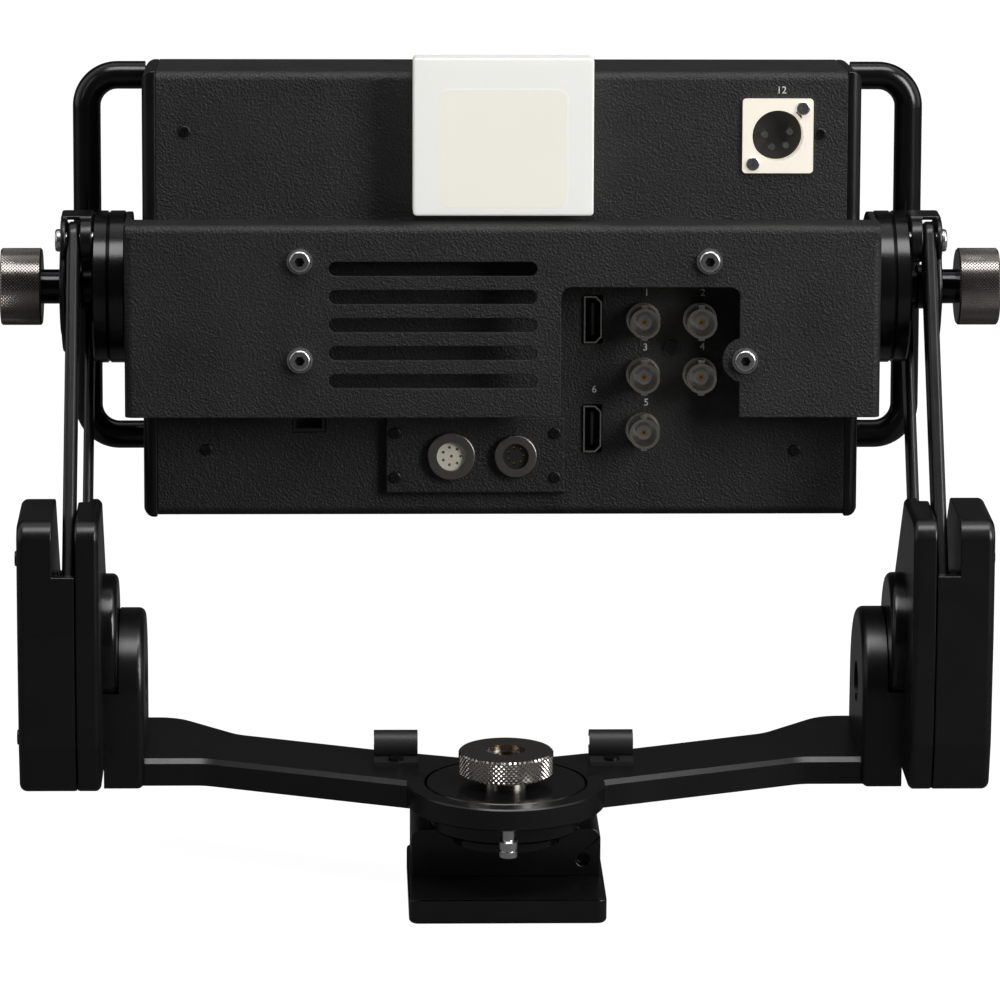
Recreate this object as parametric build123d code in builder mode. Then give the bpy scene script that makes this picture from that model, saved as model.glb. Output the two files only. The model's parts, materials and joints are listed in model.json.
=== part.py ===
"""Studio camera viewfinder: a nine inch screen in a sheet metal case, tilting in a yoke,
lifted by two pairs of parallel links and turning on a crossbar above a camera shoe.

Millimetres, +Z up. The origin is on the pan axis, on the underside of the shoe. The
connector side of the case faces -Y, the screen faces +Y, and +X is on the right as seen
from the connector side.
"""

import math
import os

from build123d import *

os.makedirs("parts", exist_ok=True)

# Fits
RUN = 0.05  # radial clearance of a shaft that turns or slides in its hole
SEAT = 0.02  # radial clearance of a pin or screw that is fixed in its hole
CLEAR = 0.3  # gap between curved pieces that only pass each other
PLAY = 0.2  # side play of a link between its bosses
CUT_OVER = 1.0  # cuts that leave a piece run on by this much
NEAR = 0.1  # edges this close to a place are the ones meant

# Shoe that slides into the camera
SHOE_WIDTH = 61.0
SHOE_DEPTH = 60.0
SHOE_THICK = 8.0
SHOE_CORNER = 3.0
SHOE_EDGE = 0.8
SHOE_HOLE_SPACING = 50.0
SHOE_HOLE_R = 1.65
SHOE_HOLE_DEPTH = 6.0
BLOCK_WIDTH = 59.0
BLOCK_FRONT_Y = -5.5
BLOCK_DEPTH = 34.0
BLOCK_HEIGHT = 15.5
BLOCK_ROUND = 3.5
SHOE_SCREW_R = 2.0
SHOE_SCREW_HEAD_R = 3.8
SHOE_SCREWS_ACROSS = 36.0
SHOE_SCREWS_ALONG = 22.0
SHOE_SCREW_GRIP = 6.0
SHOE_HEX_R = 1.4
SHOE_HEX_DEPTH = 2.0
SET_SCREW_R = 2.0
SET_SCREW_X = 24.0
SET_SCREW_UP = 5.2
SET_SCREW_DEPTH = 3.0

# Pan post, its clamp plate and its lock nut
FLANGE_R = 24.0
FLANGE_THICK = 6.6
FLANGE_GAP = 1.0
SPIGOT_R = 17.0
SPIGOT_LENGTH = 4.5
JOURNAL_R = 9.0
POST_R = 5.5
POST_RISE = 8.3
BOLT_R = 2.5
BOLT_HEAD_R = 4.2
BOLT_HEAD_HEIGHT = 5.0
BOLT_HEX_R = 2.3
BOLT_HEX_DEPTH = 3.0
BOLT_SINK = 0.6
BOLT_GRIP = 12.0
RING_R = 30.9
RING_THICK = 6.9
RECESS_R = 25.5
CLAMP_R = 24.8
CLAMP_THICK = 3.8
LOCK_R = 14.9
LOCK_HEIGHT = 7.3
LOCK_EDGE = 0.6
LOCK_COLLAR_R = 8.0
LOCK_COLLAR_HEIGHT = 3.0
LOCK_MOUTH_R = 6.15
LOCK_MOUTH_DEPTH = 2.0

# Crossbar, swept in plan
BAR_THICK = 8.6
BAR_END_FRONT_Y = 26.0
BAR_END_BACK_Y = 75.5
BAR_FRONT_KINK_IN = 18.7  # kinks, from the lugs inwards
BAR_BACK_KINK_IN = 9.0
BAR_WAIST_IN = 28.6
BAR_WAIST_Y = 55.0
BAR_MID_X = 40.9
BAR_MID_Y = 37.0
BAR_ROOT_Y = 27.5
BAR_LAP = 1.0  # the bar runs this far into the ring's rim and the lugs
BAR_KINK_R = 14.0
BAR_BEVEL = 1.4
LUG_THICK = 12.8
LUG_R = 24.0
LUG_Y = 47.0
LUG_CENTRE_Z = 56.5
LUG_EDGE = 2.2
LUG_HOLE_R = 6.6
LUG_HOLE_DEPTH = 6.5
LUG_BOLT_R = 3.0
LUG_BOLT_HEAD_R = 5.0
LUG_BOLT_HEAD_HEIGHT = 4.5
LUG_BOLT_GRIP = 6.0

# Pan stop pin under the ring
STOP_RADIUS = 27.4
STOP_R = 2.9
STOP_LENGTH = 5.6
STOP_NECK_R = 1.9
STOP_NECK_LENGTH = 3.6
STOP_GRIP = 4.0
STOP_GROOVE_UP = 2.2
STOP_GROOVE_WIDTH = 0.7
STOP_GROOVE_DEPTH = 0.4

# Cable clips on the crossbar
CLIP_X = 34.0
CLIP_LENGTH = 13.8
CLIP_R = 4.4
CLIP_WALL = 1.3
CLIP_Y = 28.3
CLIP_FOOT_FRONT = 17.6
CLIP_MOUTH = 3.2
CLIP_SCREW_Y = 20.5
SMALL_SCREW_R = 1.25
SMALL_HEAD_R = 2.4
SMALL_HEAD_HEIGHT = 1.0
RING_SCREW_X = 27.2
RING_SCREW_Y = 8.6
RING_SCREW_LENGTH = 5.0

# Link housings, in two halves on each side
HOUSING_INNER_THICK = 7.4
HOUSING_OUTER_THICK = 18.0
HOUSING_BOTTOM = 33.0
HOUSING_TOP = 119.6
HOUSING_BACK_Y = -1.5
HOUSING_TOP_LEAN = 2.5
HOUSING_TOP_DEPTH = 35.0
HOUSING_TOP_ROUND = 6.5
HOUSING_FOOT_LEAN = 3.5
HOUSING_FACET_LOW = 49.0
HOUSING_FACET_HIGH = 84.0
HOUSING_NOSE_Y = 72.0
HOUSING_SHOULDER_Z = 75.0
HOUSING_CHIN_Z = 46.0
HOUSING_CHIN_Y = 62.0
HOUSING_ROUND = 4.0
HOUSING_EDGE = 2.4
HOUSING_SEAM = 0.4
SLOT_WIDTH = 7.1
SLOT_LEDGE = 102.8
DISC_R = 20.1
DISC_THICK = 4.6
DISC_ROUND = 2.0
LONG_SCREWS = ((12.0, 48.5), (58.0, 48.5))  # through both halves, as Y and Z
SHORT_SCREWS = ((12.0, 106.0),)
SHORT_SCREW_LENGTH = 8.0
SIDE_SCREW_GRIP = 4.0
SIDE_HEAD_ROUND = 0.4

# Parallel links
REAR_LINK_THICK = 4.0
FRONT_LINK_THICK = 3.0
LINK_R = 6.0
LINK_BEVEL = 0.95
PIN_R = 3.0
PIN_INNER_WALL = 1.5
PIN_OUTER_WALL = 5.4
PIN_SEAT_DEPTH = 2.0
BOSS_R = 5.0
REAR_FOOT_Y = 10.0
REAR_FOOT_Z = 96.8
LINK_STEP_Y = 27.0  # from the rear pivot to the front pivot
LINK_STEP_Z = -22.6

# Tilt axis and the heads that carry it
TILT_Y = 84.0
TILT_Z = 177.5
REAR_HEAD_DY = -12.0  # rear link's upper pivot, from the tilt axis
REAR_HEAD_DZ = 17.3
HEAD_R = 20.9
HEAD_TOP = 24.9
HEAD_BACK = 11.0
HEAD_EAR_R = 7.0
HEAD_PLATE = 1.7
HEAD_LIP = 1.3
HEAD_EDGE = 0.4
HEAD_HUB_R = 7.0
COVER_R = 15.6
COVER_RISE = 0.6
COVER_RIM = 0.2
PIVOT_HEAD_R = 3.6
PIVOT_HEAD_RISE = 1.8
FRICTION_R = 24.3
INNER_DISC_THICK = 5.5
OUTER_DISC_THICK = 5.0
DISC_EDGE = 0.6
STUD_R = 5.0
STUD_TIP_R = 3.0
STUD_HEAD_R = 9.0
STUD_HEAD_THICK = 3.0
TILT_KNOB_R = 12.4
TILT_KNOB_LENGTH = 13.1
TILT_KNOB_EDGE = 0.6
TILT_SLEEVE_R = 5.5
TILT_SLEEVE_LENGTH = 6.0
TILT_BORE_DEPTH = 10.0

# Case, leaning back over the operator by this angle at rest
DISPLAY_LEAN = 4.5
CASE_HALF_WIDTH = 114.0
CASE_BACK = 14.0  # rear face, behind the tilt axis
CASE_FRONT = 34.0  # front face, ahead of the tilt axis
CASE_TOP = 70.0
CASE_BOTTOM = 72.0
END_PLATE_THICK = 4.4
END_PLATE_OVER = 0.4
END_PLATE_EDGE = 3.2
SHEET = 1.5
COVER_BEND = 3.0
COVER_NUT = 4.0
SCREW_LUG = 3.5
SCREW_LUG_DEPTH = 6.0
BEZEL_DEPTH = 10.0
WINDOW_INSET = 11.1  # from the end plates
WINDOW_HEIGHT = 110.0
WINDOW_UP = 9.5
GLASS_THICK = 2.0
GLASS_BORDER = 2.0
LCD_THICK = 6.0
LCD_BORDER = 3.5
FIT_GAP = 0.2
BOARD_INSET = 21.6  # from the end plates
BOARD_HEIGHT = 80.0
BOARD_THICK = 1.6
BOARD_STAND = 10.0
BOARD_FOOT_R = 2.6
BOARD_FOOT_INSET = 6.0

# Handles
HANDLE_R = 4.5
HANDLE_BEND = 10.0
HANDLE_STAND = 19.0
HANDLE_TOP = 65.2
HANDLE_BOTTOM = 52.0
HANDLE_AHEAD = 29.5
HANDLE_SPIGOT_R = 3.0
HANDLE_SPIGOT = 3.0

# Yoke bracket behind the case
BRACKET_BACK = 31.5
BRACKET_THICK = 2.0
BRACKET_GAP = 5.3
BRACKET_TOP = 23.0
BRACKET_BOTTOM = 38.0
BRACKET_BEND = 2.6
FLANGE_REACH = 24.0
RELIEF = 1.0
FOLD_DROP = 4.0
FOLD_INSET = 0.5
VENT_CORNER = 2.2
VENT_COUNT = 5
VENT_PITCH = 8.9
VENT_LENGTH = 65.6
VENT_HEIGHT = 4.5
VENT_X = -22.2
VENT_TOP_Z = 9.2
CUTOUT_LEFT = 18.2
CUTOUT_RIGHT = 74.6
CUTOUT_TOP = 3.4
CUTOUT_CORNER = 3.2
TAB_R = 7.2
BRACKET_SCREWS = ((-64.1, 11.7), (-64.1, -19.6), (64.9, 11.7), (76.4, -19.8))
WASHER_R = 4.1
WASHER_THICK = 0.6
CAP_R = 3.5
CAP_HEIGHT = 2.2
CAP_ROUND = 0.9
CAP_HEX_R = 1.6
CAP_HEX_DEPTH = 1.6
CAP_SHANK_R = 2.0
SPACER_R = 4.2

# Tally lamp
TALLY_HALF_WIDTH = 28.4
TALLY_BOTTOM = 25.7
TALLY_TOP = 75.3
TALLY_OUT = 14.0
TALLY_WALL = 2.0
TALLY_ROUND = 1.2
TALLY_LIP = 2.0
DIFFUSER_HALF_WIDTH = 19.8
DIFFUSER_BOTTOM = 27.9
DIFFUSER_TOP = 65.4
DIFFUSER_ROUND = 6.0
DIFFUSER_OUT = 10.0

# Power socket
POWER_INSET = 22.3  # from the end plate
POWER_Z = 49.7
POWER_WIDTH = 22.4
POWER_HEIGHT = 23.6
POWER_PLATE = 1.2
POWER_CORNER = 1.1
POWER_R = 8.1
POWER_SHELL = 1.1
POWER_DEPTH = 9.0
POWER_FLOOR = 2.0
POWER_KEY_R = 1.9
POWER_PIN_R = 1.0
POWER_PIN_RADIUS = 4.0
POWER_PIN_START = 176.0
POWER_PIN_STEP = 67.3
POWER_PIN_COUNT = 4
POWER_PIN_LENGTH = 7.0
POWER_SCREW_X = 7.9
POWER_SCREW_Z = 8.8
POWER_SCREW_HEAD_R = 2.2

# Video sockets
COAX_X = (45.0, 63.0)
COAX_Z = (-8.7, -26.2, -43.9)
COAX_COUNT = 5
COAX_R = 4.8
COAX_LENGTH = 13.5
COAX_BORE_R = 3.95
COAX_BORE_DEPTH = 9.5
COAX_BASE_R = 5.4
COAX_BASE_THICK = 2.4
COAX_TAIL_R = 3.5
COAX_TAIL = 5.0
COAX_LUG_R = 1.0
COAX_LUG_OUT = 0.9
COAX_LUG_BACK = 3.6
COAX_CORE_R = 2.3
COAX_CORE_LENGTH = 5.5
COAX_PIN_R = 1.1
COAX_PIN_HOLE_R = 0.5
COAX_PIN_LENGTH = 7.0
DIGITAL_X = 29.0
DIGITAL_Z = (-8.9, -44.0)
DIGITAL_WIDTH = 5.7
DIGITAL_HEIGHT = 15.0
DIGITAL_SHELL = 0.45
DIGITAL_OUT = 0.9
DIGITAL_DEPTH = 8.0
DIGITAL_CORNER = 1.9
DIGITAL_TONGUE = 0.9
DIGITAL_TONGUE_SPAN = 10.6
DIGITAL_TONGUE_SHY = 1.8

# Sub panel with two round sockets
SUB_LEFT = -37.0
SUB_RIGHT = 20.3
SUB_TOP = -39.7
SUB_BOTTOM = -64.5
SUB_THICK = 3.0
SUB_EDGE = 0.5
ROUND_Z = -52.2
ROUND_A_X = -16.0
ROUND_B_X = 4.5
ROUND_A_R = 7.6
ROUND_B_R = 6.8
ROUND_A_INSERT_R = 4.65
ROUND_B_INSERT_R = 4.1
ROUND_NUT = 2.6
ROUND_WALL = 1.0
ROUND_TAIL = 6.0
ROUND_SINK = 1.4
ROUND_PIN_R = 0.45
ROUND_PIN_SHY = 1.5
ROUND_PIN_COUNT = 7
ROUND_PIN_RADIUS_SHARE = 0.62

# Service socket below the bracket's edge
SERVICE_X = -61.3
SERVICE_Z = -39.4
SERVICE_WIDTH = 10.2
SERVICE_HEIGHT = 11.0
SERVICE_DEPTH = 7.0
SERVICE_WALL = 1.0

# Black screws of the case
LEFT_CASE_SCREWS = ((9.2, 51.0), (15.8, -50.6))  # in from the end plate, and up
RIGHT_CASE_SCREWS = ((8.7, 50.4), (15.7, -51.0))
CENTRE_SCREW = (54.1, -18.0)
CASE_SCREW_R = 1.0
CASE_HEAD_R = 1.8
CENTRE_HEAD_R = 2.6
CASE_HEAD_HEIGHT = 0.9
CASE_SCREW_GRIP = 4.0
CROSS_WIDTH = 0.5
CROSS_DEPTH = 0.5
CROSS_SHARE = 1.2
SUB_SCREW_INSET_X = 3.2
SUB_SCREW_INSET_Z = 5.3

# Controls below the screen
CONTROL_Z = -58.5
CONTROL_BOARD_INSET = 6.6
CONTROL_BOARD_HEIGHT = 14.0
DIAL_INSETS = (49.6, 31.6, 13.6)  # from the end plate
DIAL_R = 6.5
DIAL_HEIGHT = 9.0
DIAL_SHAFT_R = 2.0
DIAL_STAND = 0.5
DIAL_MARK = 0.5
BUTTON_X = (-24.0, 0.0, 24.0)
BUTTON_R = 4.0
BUTTON_GAP = 1.0
BUTTON_OUT = 1.8
BUTTON_TRAVEL = 1.2
BUTTON_DOME = 0.4

# Places that follow from the sizes above
block_top = SHOE_THICK + BLOCK_HEIGHT
flange_top = block_top + FLANGE_THICK
hub_top = flange_top + RING_THICK
web_top = hub_top - CLAMP_THICK
post_top = hub_top + POST_RISE

rear_head_y = TILT_Y + REAR_HEAD_DY
rear_head_z = TILT_Z + REAR_HEAD_DZ
front_head_y = rear_head_y + LINK_STEP_Y
front_head_z = rear_head_z + LINK_STEP_Z
front_foot_y = REAR_FOOT_Y + LINK_STEP_Y
front_foot_z = REAR_FOOT_Z + LINK_STEP_Z

inner_half_width = CASE_HALF_WIDTH - END_PLATE_THICK
flange_x = CASE_HALF_WIDTH + BRACKET_GAP
inner_disc_x = flange_x + INNER_DISC_THICK
outer_disc_x = inner_disc_x + OUTER_DISC_THICK
front_link_x = outer_disc_x + CLEAR
front_link_end_x = front_link_x + FRONT_LINK_THICK
split_x = front_link_end_x + CLEAR
housing_inner_x = split_x - HOUSING_INNER_THICK
housing_outer_x = split_x + HOUSING_OUTER_THICK
rear_link_x = split_x + CLEAR
rear_link_end_x = rear_link_x + REAR_LINK_THICK
head_plate_x = rear_link_end_x + CLEAR
head_end_x = head_plate_x + HEAD_PLATE
cover_end_x = head_end_x + COVER_RISE
sleeve_end_x = cover_end_x + TILT_SLEEVE_LENGTH
slot_end_x = split_x + SLOT_WIDTH
pin_start_x = housing_inner_x + PIN_INNER_WALL
pin_end_x = housing_outer_x - PIN_OUTER_WALL
disc_inner_x = housing_inner_x - DISC_THICK
lug_x = housing_inner_x - LUG_THICK
bar_waist_x = lug_x - BAR_WAIST_IN
bar_front_kink_x = lug_x - BAR_FRONT_KINK_IN
bar_back_kink_x = lug_x - BAR_BACK_KINK_IN

panel_y = TILT_Y - CASE_BACK
panel_inner_y = panel_y + SHEET
front_y = TILT_Y + CASE_FRONT
bezel_back_y = front_y - BEZEL_DEPTH
board_y = panel_inner_y + BOARD_STAND
bracket_y = TILT_Y - BRACKET_BACK

handle_out_x = CASE_HALF_WIDTH + HANDLE_STAND
window_width = 2 * (inner_half_width - WINDOW_INSET)
board_width = 2 * (inner_half_width - BOARD_INSET)
control_board_width = 2 * (inner_half_width - CONTROL_BOARD_INSET)
power_x = inner_half_width - POWER_INSET
dial_places = [inner_half_width - inset for inset in DIAL_INSETS]
left_screws = [(inset - inner_half_width, z) for inset, z in LEFT_CASE_SCREWS]
right_screws = [(inner_half_width - inset, z) for inset, z in RIGHT_CASE_SCREWS]

tilt_axis = Axis((0, TILT_Y, TILT_Z), (1, 0, 0))


def rear_plane(y):
    """Upright plane that faces the connector side, its middle level with the tilt axis."""
    return Plane(origin=(0, y, TILT_Z), x_dir=(1, 0, 0), z_dir=(0, -1, 0))


def front_plane(y):
    """Upright plane that faces the operator, its own X running to the operator's right."""
    return Plane(origin=(0, y, TILT_Z), x_dir=(-1, 0, 0), z_dir=(0, 1, 0))


def side_plane(x):
    """Upright plane across the object, in coordinates of Y and Z."""
    return Plane.YZ.offset(x)


def keep(name, piece):
    """Labels a finished piece and writes it."""
    piece.label = name
    export_step(piece, f"parts/{name}.step")


def keep_leaned(name, piece):
    """The same for a piece of the display, which leans about the tilt axis at rest."""
    keep(name, piece.rotate(tilt_axis, -DISPLAY_LEAN))


# Shoe plate: the flat foot that the camera's viewfinder seat holds
with BuildPart() as shoe_plate:
    with BuildSketch():
        RectangleRounded(SHOE_WIDTH, SHOE_DEPTH, SHOE_CORNER)
    extrude(amount=SHOE_THICK)
    chamfer(shoe_plate.faces().sort_by(Axis.Z)[0].outer_wire().edges(), SHOE_EDGE)
    chamfer(shoe_plate.faces().sort_by(Axis.Z)[-1].outer_wire().edges(), SHOE_EDGE / 2)
    with BuildSketch():
        with GridLocations(SHOE_HOLE_SPACING, SHOE_HOLE_SPACING, 2, 2):
            Circle(SHOE_HOLE_R)
    extrude(amount=SHOE_HOLE_DEPTH, mode=Mode.SUBTRACT)
    with Locations(Plane(origin=(0, BLOCK_FRONT_Y + BLOCK_DEPTH / 2, 0), z_dir=(0, 0, -1))):
        with GridLocations(SHOE_SCREWS_ACROSS, SHOE_SCREWS_ALONG, 2, 2):
            CounterSinkHole(SHOE_SCREW_R + SEAT, SHOE_SCREW_HEAD_R + SEAT, SHOE_THICK, 90)

# Shoe block: the riser on the plate that takes the pan post
with BuildPart() as shoe_block:
    with BuildSketch(Plane.XY.offset(SHOE_THICK)):
        with Locations((0, BLOCK_FRONT_Y + BLOCK_DEPTH / 2)):
            Rectangle(BLOCK_WIDTH, BLOCK_DEPTH)
    extrude(amount=BLOCK_HEIGHT)
    top_sides = shoe_block.faces().sort_by(Axis.Z)[-1].edges().filter_by(Axis.Y)
    fillet(top_sides, BLOCK_ROUND)
    with BuildSketch(Plane.XY.offset(block_top)):
        Circle(SPIGOT_R + SEAT)
    extrude(amount=-SPIGOT_LENGTH, mode=Mode.SUBTRACT)
    with BuildSketch(Plane.XY.offset(block_top - SPIGOT_LENGTH)):
        Circle(BOLT_R + SEAT)
    extrude(amount=-(BLOCK_HEIGHT - SPIGOT_LENGTH), mode=Mode.SUBTRACT)
    with BuildSketch(Plane.XY.offset(SHOE_THICK)):
        with Locations((0, BLOCK_FRONT_Y + BLOCK_DEPTH / 2)):
            with GridLocations(SHOE_SCREWS_ACROSS, SHOE_SCREWS_ALONG, 2, 2):
                Circle(SHOE_SCREW_R + SEAT)
    extrude(amount=SHOE_SCREW_GRIP + PLAY, mode=Mode.SUBTRACT)
    set_screw_place = (SET_SCREW_X, BLOCK_FRONT_Y, SHOE_THICK + SET_SCREW_UP)
    with BuildSketch(Plane(origin=set_screw_place, z_dir=(0, -1, 0))):
        Circle(SET_SCREW_R)
    extrude(amount=-SET_SCREW_DEPTH, mode=Mode.SUBTRACT)

# Four countersunk screws from below
with BuildPart() as shoe_screws:
    with BuildSketch(Plane.XZ) as shoe_screw_profile:
        with BuildLine():
            Polyline(
                (0, 0),
                (SHOE_SCREW_HEAD_R, 0),
                (SHOE_SCREW_R, SHOE_SCREW_HEAD_R - SHOE_SCREW_R),
                (SHOE_SCREW_R, SHOE_THICK + SHOE_SCREW_GRIP),
                (0, SHOE_THICK + SHOE_SCREW_GRIP),
                close=True,
            )
        make_face()
    shoe_screw = revolve(axis=Axis.Z, mode=Mode.PRIVATE)
    with Locations((0, BLOCK_FRONT_Y + BLOCK_DEPTH / 2, 0)):
        with GridLocations(SHOE_SCREWS_ACROSS, SHOE_SCREWS_ALONG, 2, 2):
            add(shoe_screw)
    with BuildSketch():
        with Locations((0, BLOCK_FRONT_Y + BLOCK_DEPTH / 2)):
            with GridLocations(SHOE_SCREWS_ACROSS, SHOE_SCREWS_ALONG, 2, 2):
                RegularPolygon(SHOE_HEX_R, 6)
    extrude(amount=SHOE_HEX_DEPTH, mode=Mode.SUBTRACT)

# Pan post: spigot, flange, journal and the threaded neck in one turned piece
with BuildPart() as pan_post:
    with BuildSketch(Plane.XY.offset(block_top - SPIGOT_LENGTH)):
        Circle(SPIGOT_R)
    extrude(amount=SPIGOT_LENGTH)
    with BuildSketch(Plane.XY.offset(block_top)):
        Circle(FLANGE_R)
    extrude(amount=FLANGE_THICK)
    chamfer(pan_post.edges().filter_by(GeomType.CIRCLE).sort_by(SortBy.RADIUS)[-2:], SHOE_EDGE)
    with BuildSketch(Plane.XY.offset(flange_top)):
        Circle(JOURNAL_R)
    extrude(amount=web_top - flange_top)
    with BuildSketch(Plane.XY.offset(web_top)):
        Circle(POST_R)
    extrude(amount=post_top - web_top)
    with BuildSketch(Plane.XY.offset(post_top)):
        Circle(BOLT_HEAD_R + SEAT)
    extrude(amount=-(BOLT_HEAD_HEIGHT + BOLT_SINK), mode=Mode.SUBTRACT)
    with BuildSketch(Plane.XY.offset(post_top)):
        Circle(BOLT_R + SEAT)
    extrude(amount=-(post_top - block_top + SPIGOT_LENGTH), mode=Mode.SUBTRACT)

# Bolt down the middle of the post
bolt_seat = post_top - BOLT_SINK - BOLT_HEAD_HEIGHT
bolt_length = bolt_seat - block_top + BOLT_GRIP
with BuildPart() as post_bolt:
    with BuildSketch(Plane.XY.offset(bolt_seat)):
        Circle(BOLT_HEAD_R)
    extrude(amount=BOLT_HEAD_HEIGHT)
    with BuildSketch(Plane.XY.offset(bolt_seat)):
        Circle(BOLT_R)
    extrude(amount=-bolt_length)
    with BuildSketch(Plane.XY.offset(bolt_seat + BOLT_HEAD_HEIGHT)):
        RegularPolygon(BOLT_HEX_R, 6)
    extrude(amount=-BOLT_HEX_DEPTH, mode=Mode.SUBTRACT)

# Clamp plate let into the ring, pressed down by the lock nut
with BuildPart() as clamp_plate:
    with BuildSketch(Plane.XY.offset(web_top)):
        Circle(CLAMP_R)
        Circle(POST_R + RUN, mode=Mode.SUBTRACT)
    extrude(amount=CLAMP_THICK)
    chamfer(clamp_plate.edges().filter_by(GeomType.CIRCLE).sort_by(SortBy.RADIUS)[-1], CLEAR)

# Lock nut: knurled rim on a plain collar
with BuildPart() as pan_lock_knob:
    with BuildSketch(Plane.XY.offset(hub_top)):
        Circle(LOCK_COLLAR_R)
    extrude(amount=LOCK_COLLAR_HEIGHT)
    with BuildSketch(Plane.XY.offset(hub_top + LOCK_COLLAR_HEIGHT)) as lock_rim:
        Circle(LOCK_R)
    extrude(amount=LOCK_HEIGHT)
    chamfer(pan_lock_knob.edges().filter_by(GeomType.CIRCLE).sort_by(SortBy.RADIUS)[-2:], LOCK_EDGE)
    with BuildSketch(Plane.XY.offset(hub_top)):
        Circle(POST_R + RUN)
    extrude(amount=LOCK_COLLAR_HEIGHT + LOCK_HEIGHT, mode=Mode.SUBTRACT)
    with BuildSketch(Plane.XY.offset(hub_top + LOCK_COLLAR_HEIGHT + LOCK_HEIGHT)):
        Circle(LOCK_MOUTH_R)
    extrude(amount=-LOCK_MOUTH_DEPTH, mode=Mode.SUBTRACT)

# Lug: one upright end of the crossbar, with a round pocket for the pivot disc
bar_bottom = hub_top - BAR_THICK
with BuildPart() as lug:
    with BuildSketch(side_plane(lug_x)):
        with Locations((LUG_Y, (bar_bottom + LUG_CENTRE_Z) / 2)):
            Rectangle(2 * LUG_R, LUG_CENTRE_Z - bar_bottom)
        with Locations((LUG_Y, LUG_CENTRE_Z)):
            Circle(LUG_R)
    extrude(amount=LUG_THICK)
    fillet(lug.faces().sort_by(Axis.X)[0].outer_wire().edges(), LUG_EDGE)
    with BuildSketch(side_plane(disc_inner_x - CLEAR)):
        with Locations((front_foot_y, front_foot_z)):
            Circle(DISC_R + CLEAR)
    extrude(amount=DISC_THICK + CLEAR, mode=Mode.SUBTRACT)
    with BuildSketch(side_plane(lug_x)):
        with Locations((LUG_Y, LUG_CENTRE_Z)):
            Circle(LUG_HOLE_R)
    extrude(amount=LUG_HOLE_DEPTH, mode=Mode.SUBTRACT)
    with BuildSketch(side_plane(lug_x)):
        with Locations((LUG_Y, LUG_CENTRE_Z)):
            Circle(LUG_BOLT_R + SEAT)
    extrude(amount=LUG_THICK, mode=Mode.SUBTRACT)

# Crossbar: ring in the middle, swept arms, and an upright lug at each end
with BuildPart() as crossbar:
    with BuildSketch(Plane.XY.offset(bar_bottom)) as bar_plan:
        with BuildLine():
            Polyline(
                (0, 0),
                (RING_R - BAR_LAP, 0),
                (bar_front_kink_x, BAR_END_FRONT_Y),
                (lug_x + BAR_LAP, BAR_END_FRONT_Y),
                (lug_x + BAR_LAP, BAR_END_BACK_Y),
                (bar_back_kink_x, BAR_END_BACK_Y),
                (bar_waist_x, BAR_WAIST_Y),
                (BAR_MID_X, BAR_MID_Y),
                (BAR_ROOT_Y / 2, BAR_ROOT_Y),
                (0, BAR_ROOT_Y),
                close=True,
            )
        make_face()
        kinks = bar_plan.vertices().filter_by_position(Axis.X, bar_waist_x - NEAR, bar_back_kink_x + NEAR)
        fillet(kinks, BAR_KINK_R)
        mirror(about=Plane.YZ)
    extrude(amount=BAR_THICK)
    end_edges = (
        crossbar.edges()
        .filter_by(Axis.X)
        .filter_by_position(Axis.Y, BAR_END_FRONT_Y - NEAR, BAR_END_FRONT_Y + NEAR)
        .filter_by_position(Axis.Z, hub_top - NEAR, hub_top + NEAR)
    )
    chamfer(end_edges, BAR_BEVEL)
    with BuildSketch(Plane.XY.offset(flange_top)):
        Circle(RING_R)
    extrude(amount=RING_THICK)
    ring_rim = (
        crossbar.edges()
        .filter_by(GeomType.CIRCLE)
        .filter_by_position(Axis.Z, flange_top - NEAR, hub_top + NEAR)
        .filter_by(lambda e: abs(e.radius - RING_R) < NEAR)
    )
    chamfer(ring_rim, SHOE_EDGE / 2)
    with BuildSketch(Plane.XY.offset(bar_bottom)):
        Circle(FLANGE_R + FLANGE_GAP)
    extrude(amount=flange_top - bar_bottom, mode=Mode.SUBTRACT)
    with BuildSketch(Plane.XY.offset(web_top)):
        Circle(RECESS_R)
    extrude(amount=CLAMP_THICK, mode=Mode.SUBTRACT)
    with BuildSketch(Plane.XY.offset(flange_top)):
        Circle(JOURNAL_R + RUN)
    extrude(amount=RING_THICK, mode=Mode.SUBTRACT)
    add(lug.part)
    add(lug.part.mirror(Plane.YZ))
    # Holes for the stop pin, the ring screws and the clip screws
    with BuildSketch(Plane.XY.offset(flange_top)):
        with Locations((0, -STOP_RADIUS)):
            Circle(STOP_NECK_R + SEAT)
    extrude(amount=STOP_GRIP, mode=Mode.SUBTRACT)
    with BuildSketch(Plane.XY.offset(hub_top)):
        with Locations((RING_SCREW_X, RING_SCREW_Y), (-RING_SCREW_X, RING_SCREW_Y)):
            Circle(SMALL_HEAD_R + SEAT)
    extrude(amount=-SMALL_HEAD_HEIGHT, mode=Mode.SUBTRACT)
    with BuildSketch(Plane.XY.offset(hub_top)):
        with Locations((RING_SCREW_X, RING_SCREW_Y), (-RING_SCREW_X, RING_SCREW_Y)):
            Circle(SMALL_SCREW_R + SEAT)
        with Locations((CLIP_X, CLIP_SCREW_Y), (-CLIP_X, CLIP_SCREW_Y)):
            Circle(SMALL_SCREW_R + SEAT)
    extrude(amount=-(SMALL_HEAD_HEIGHT + RING_SCREW_LENGTH), mode=Mode.SUBTRACT)

keep("shoe_plate", shoe_plate.part)
keep("shoe_block", shoe_block.part)
keep("shoe_screws", shoe_screws.part)
keep("pan_post", pan_post.part)
keep("post_bolt", post_bolt.part)
keep("clamp_plate", clamp_plate.part)
keep("pan_lock_knob", pan_lock_knob.part)
keep("crossbar", crossbar.part)

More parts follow.
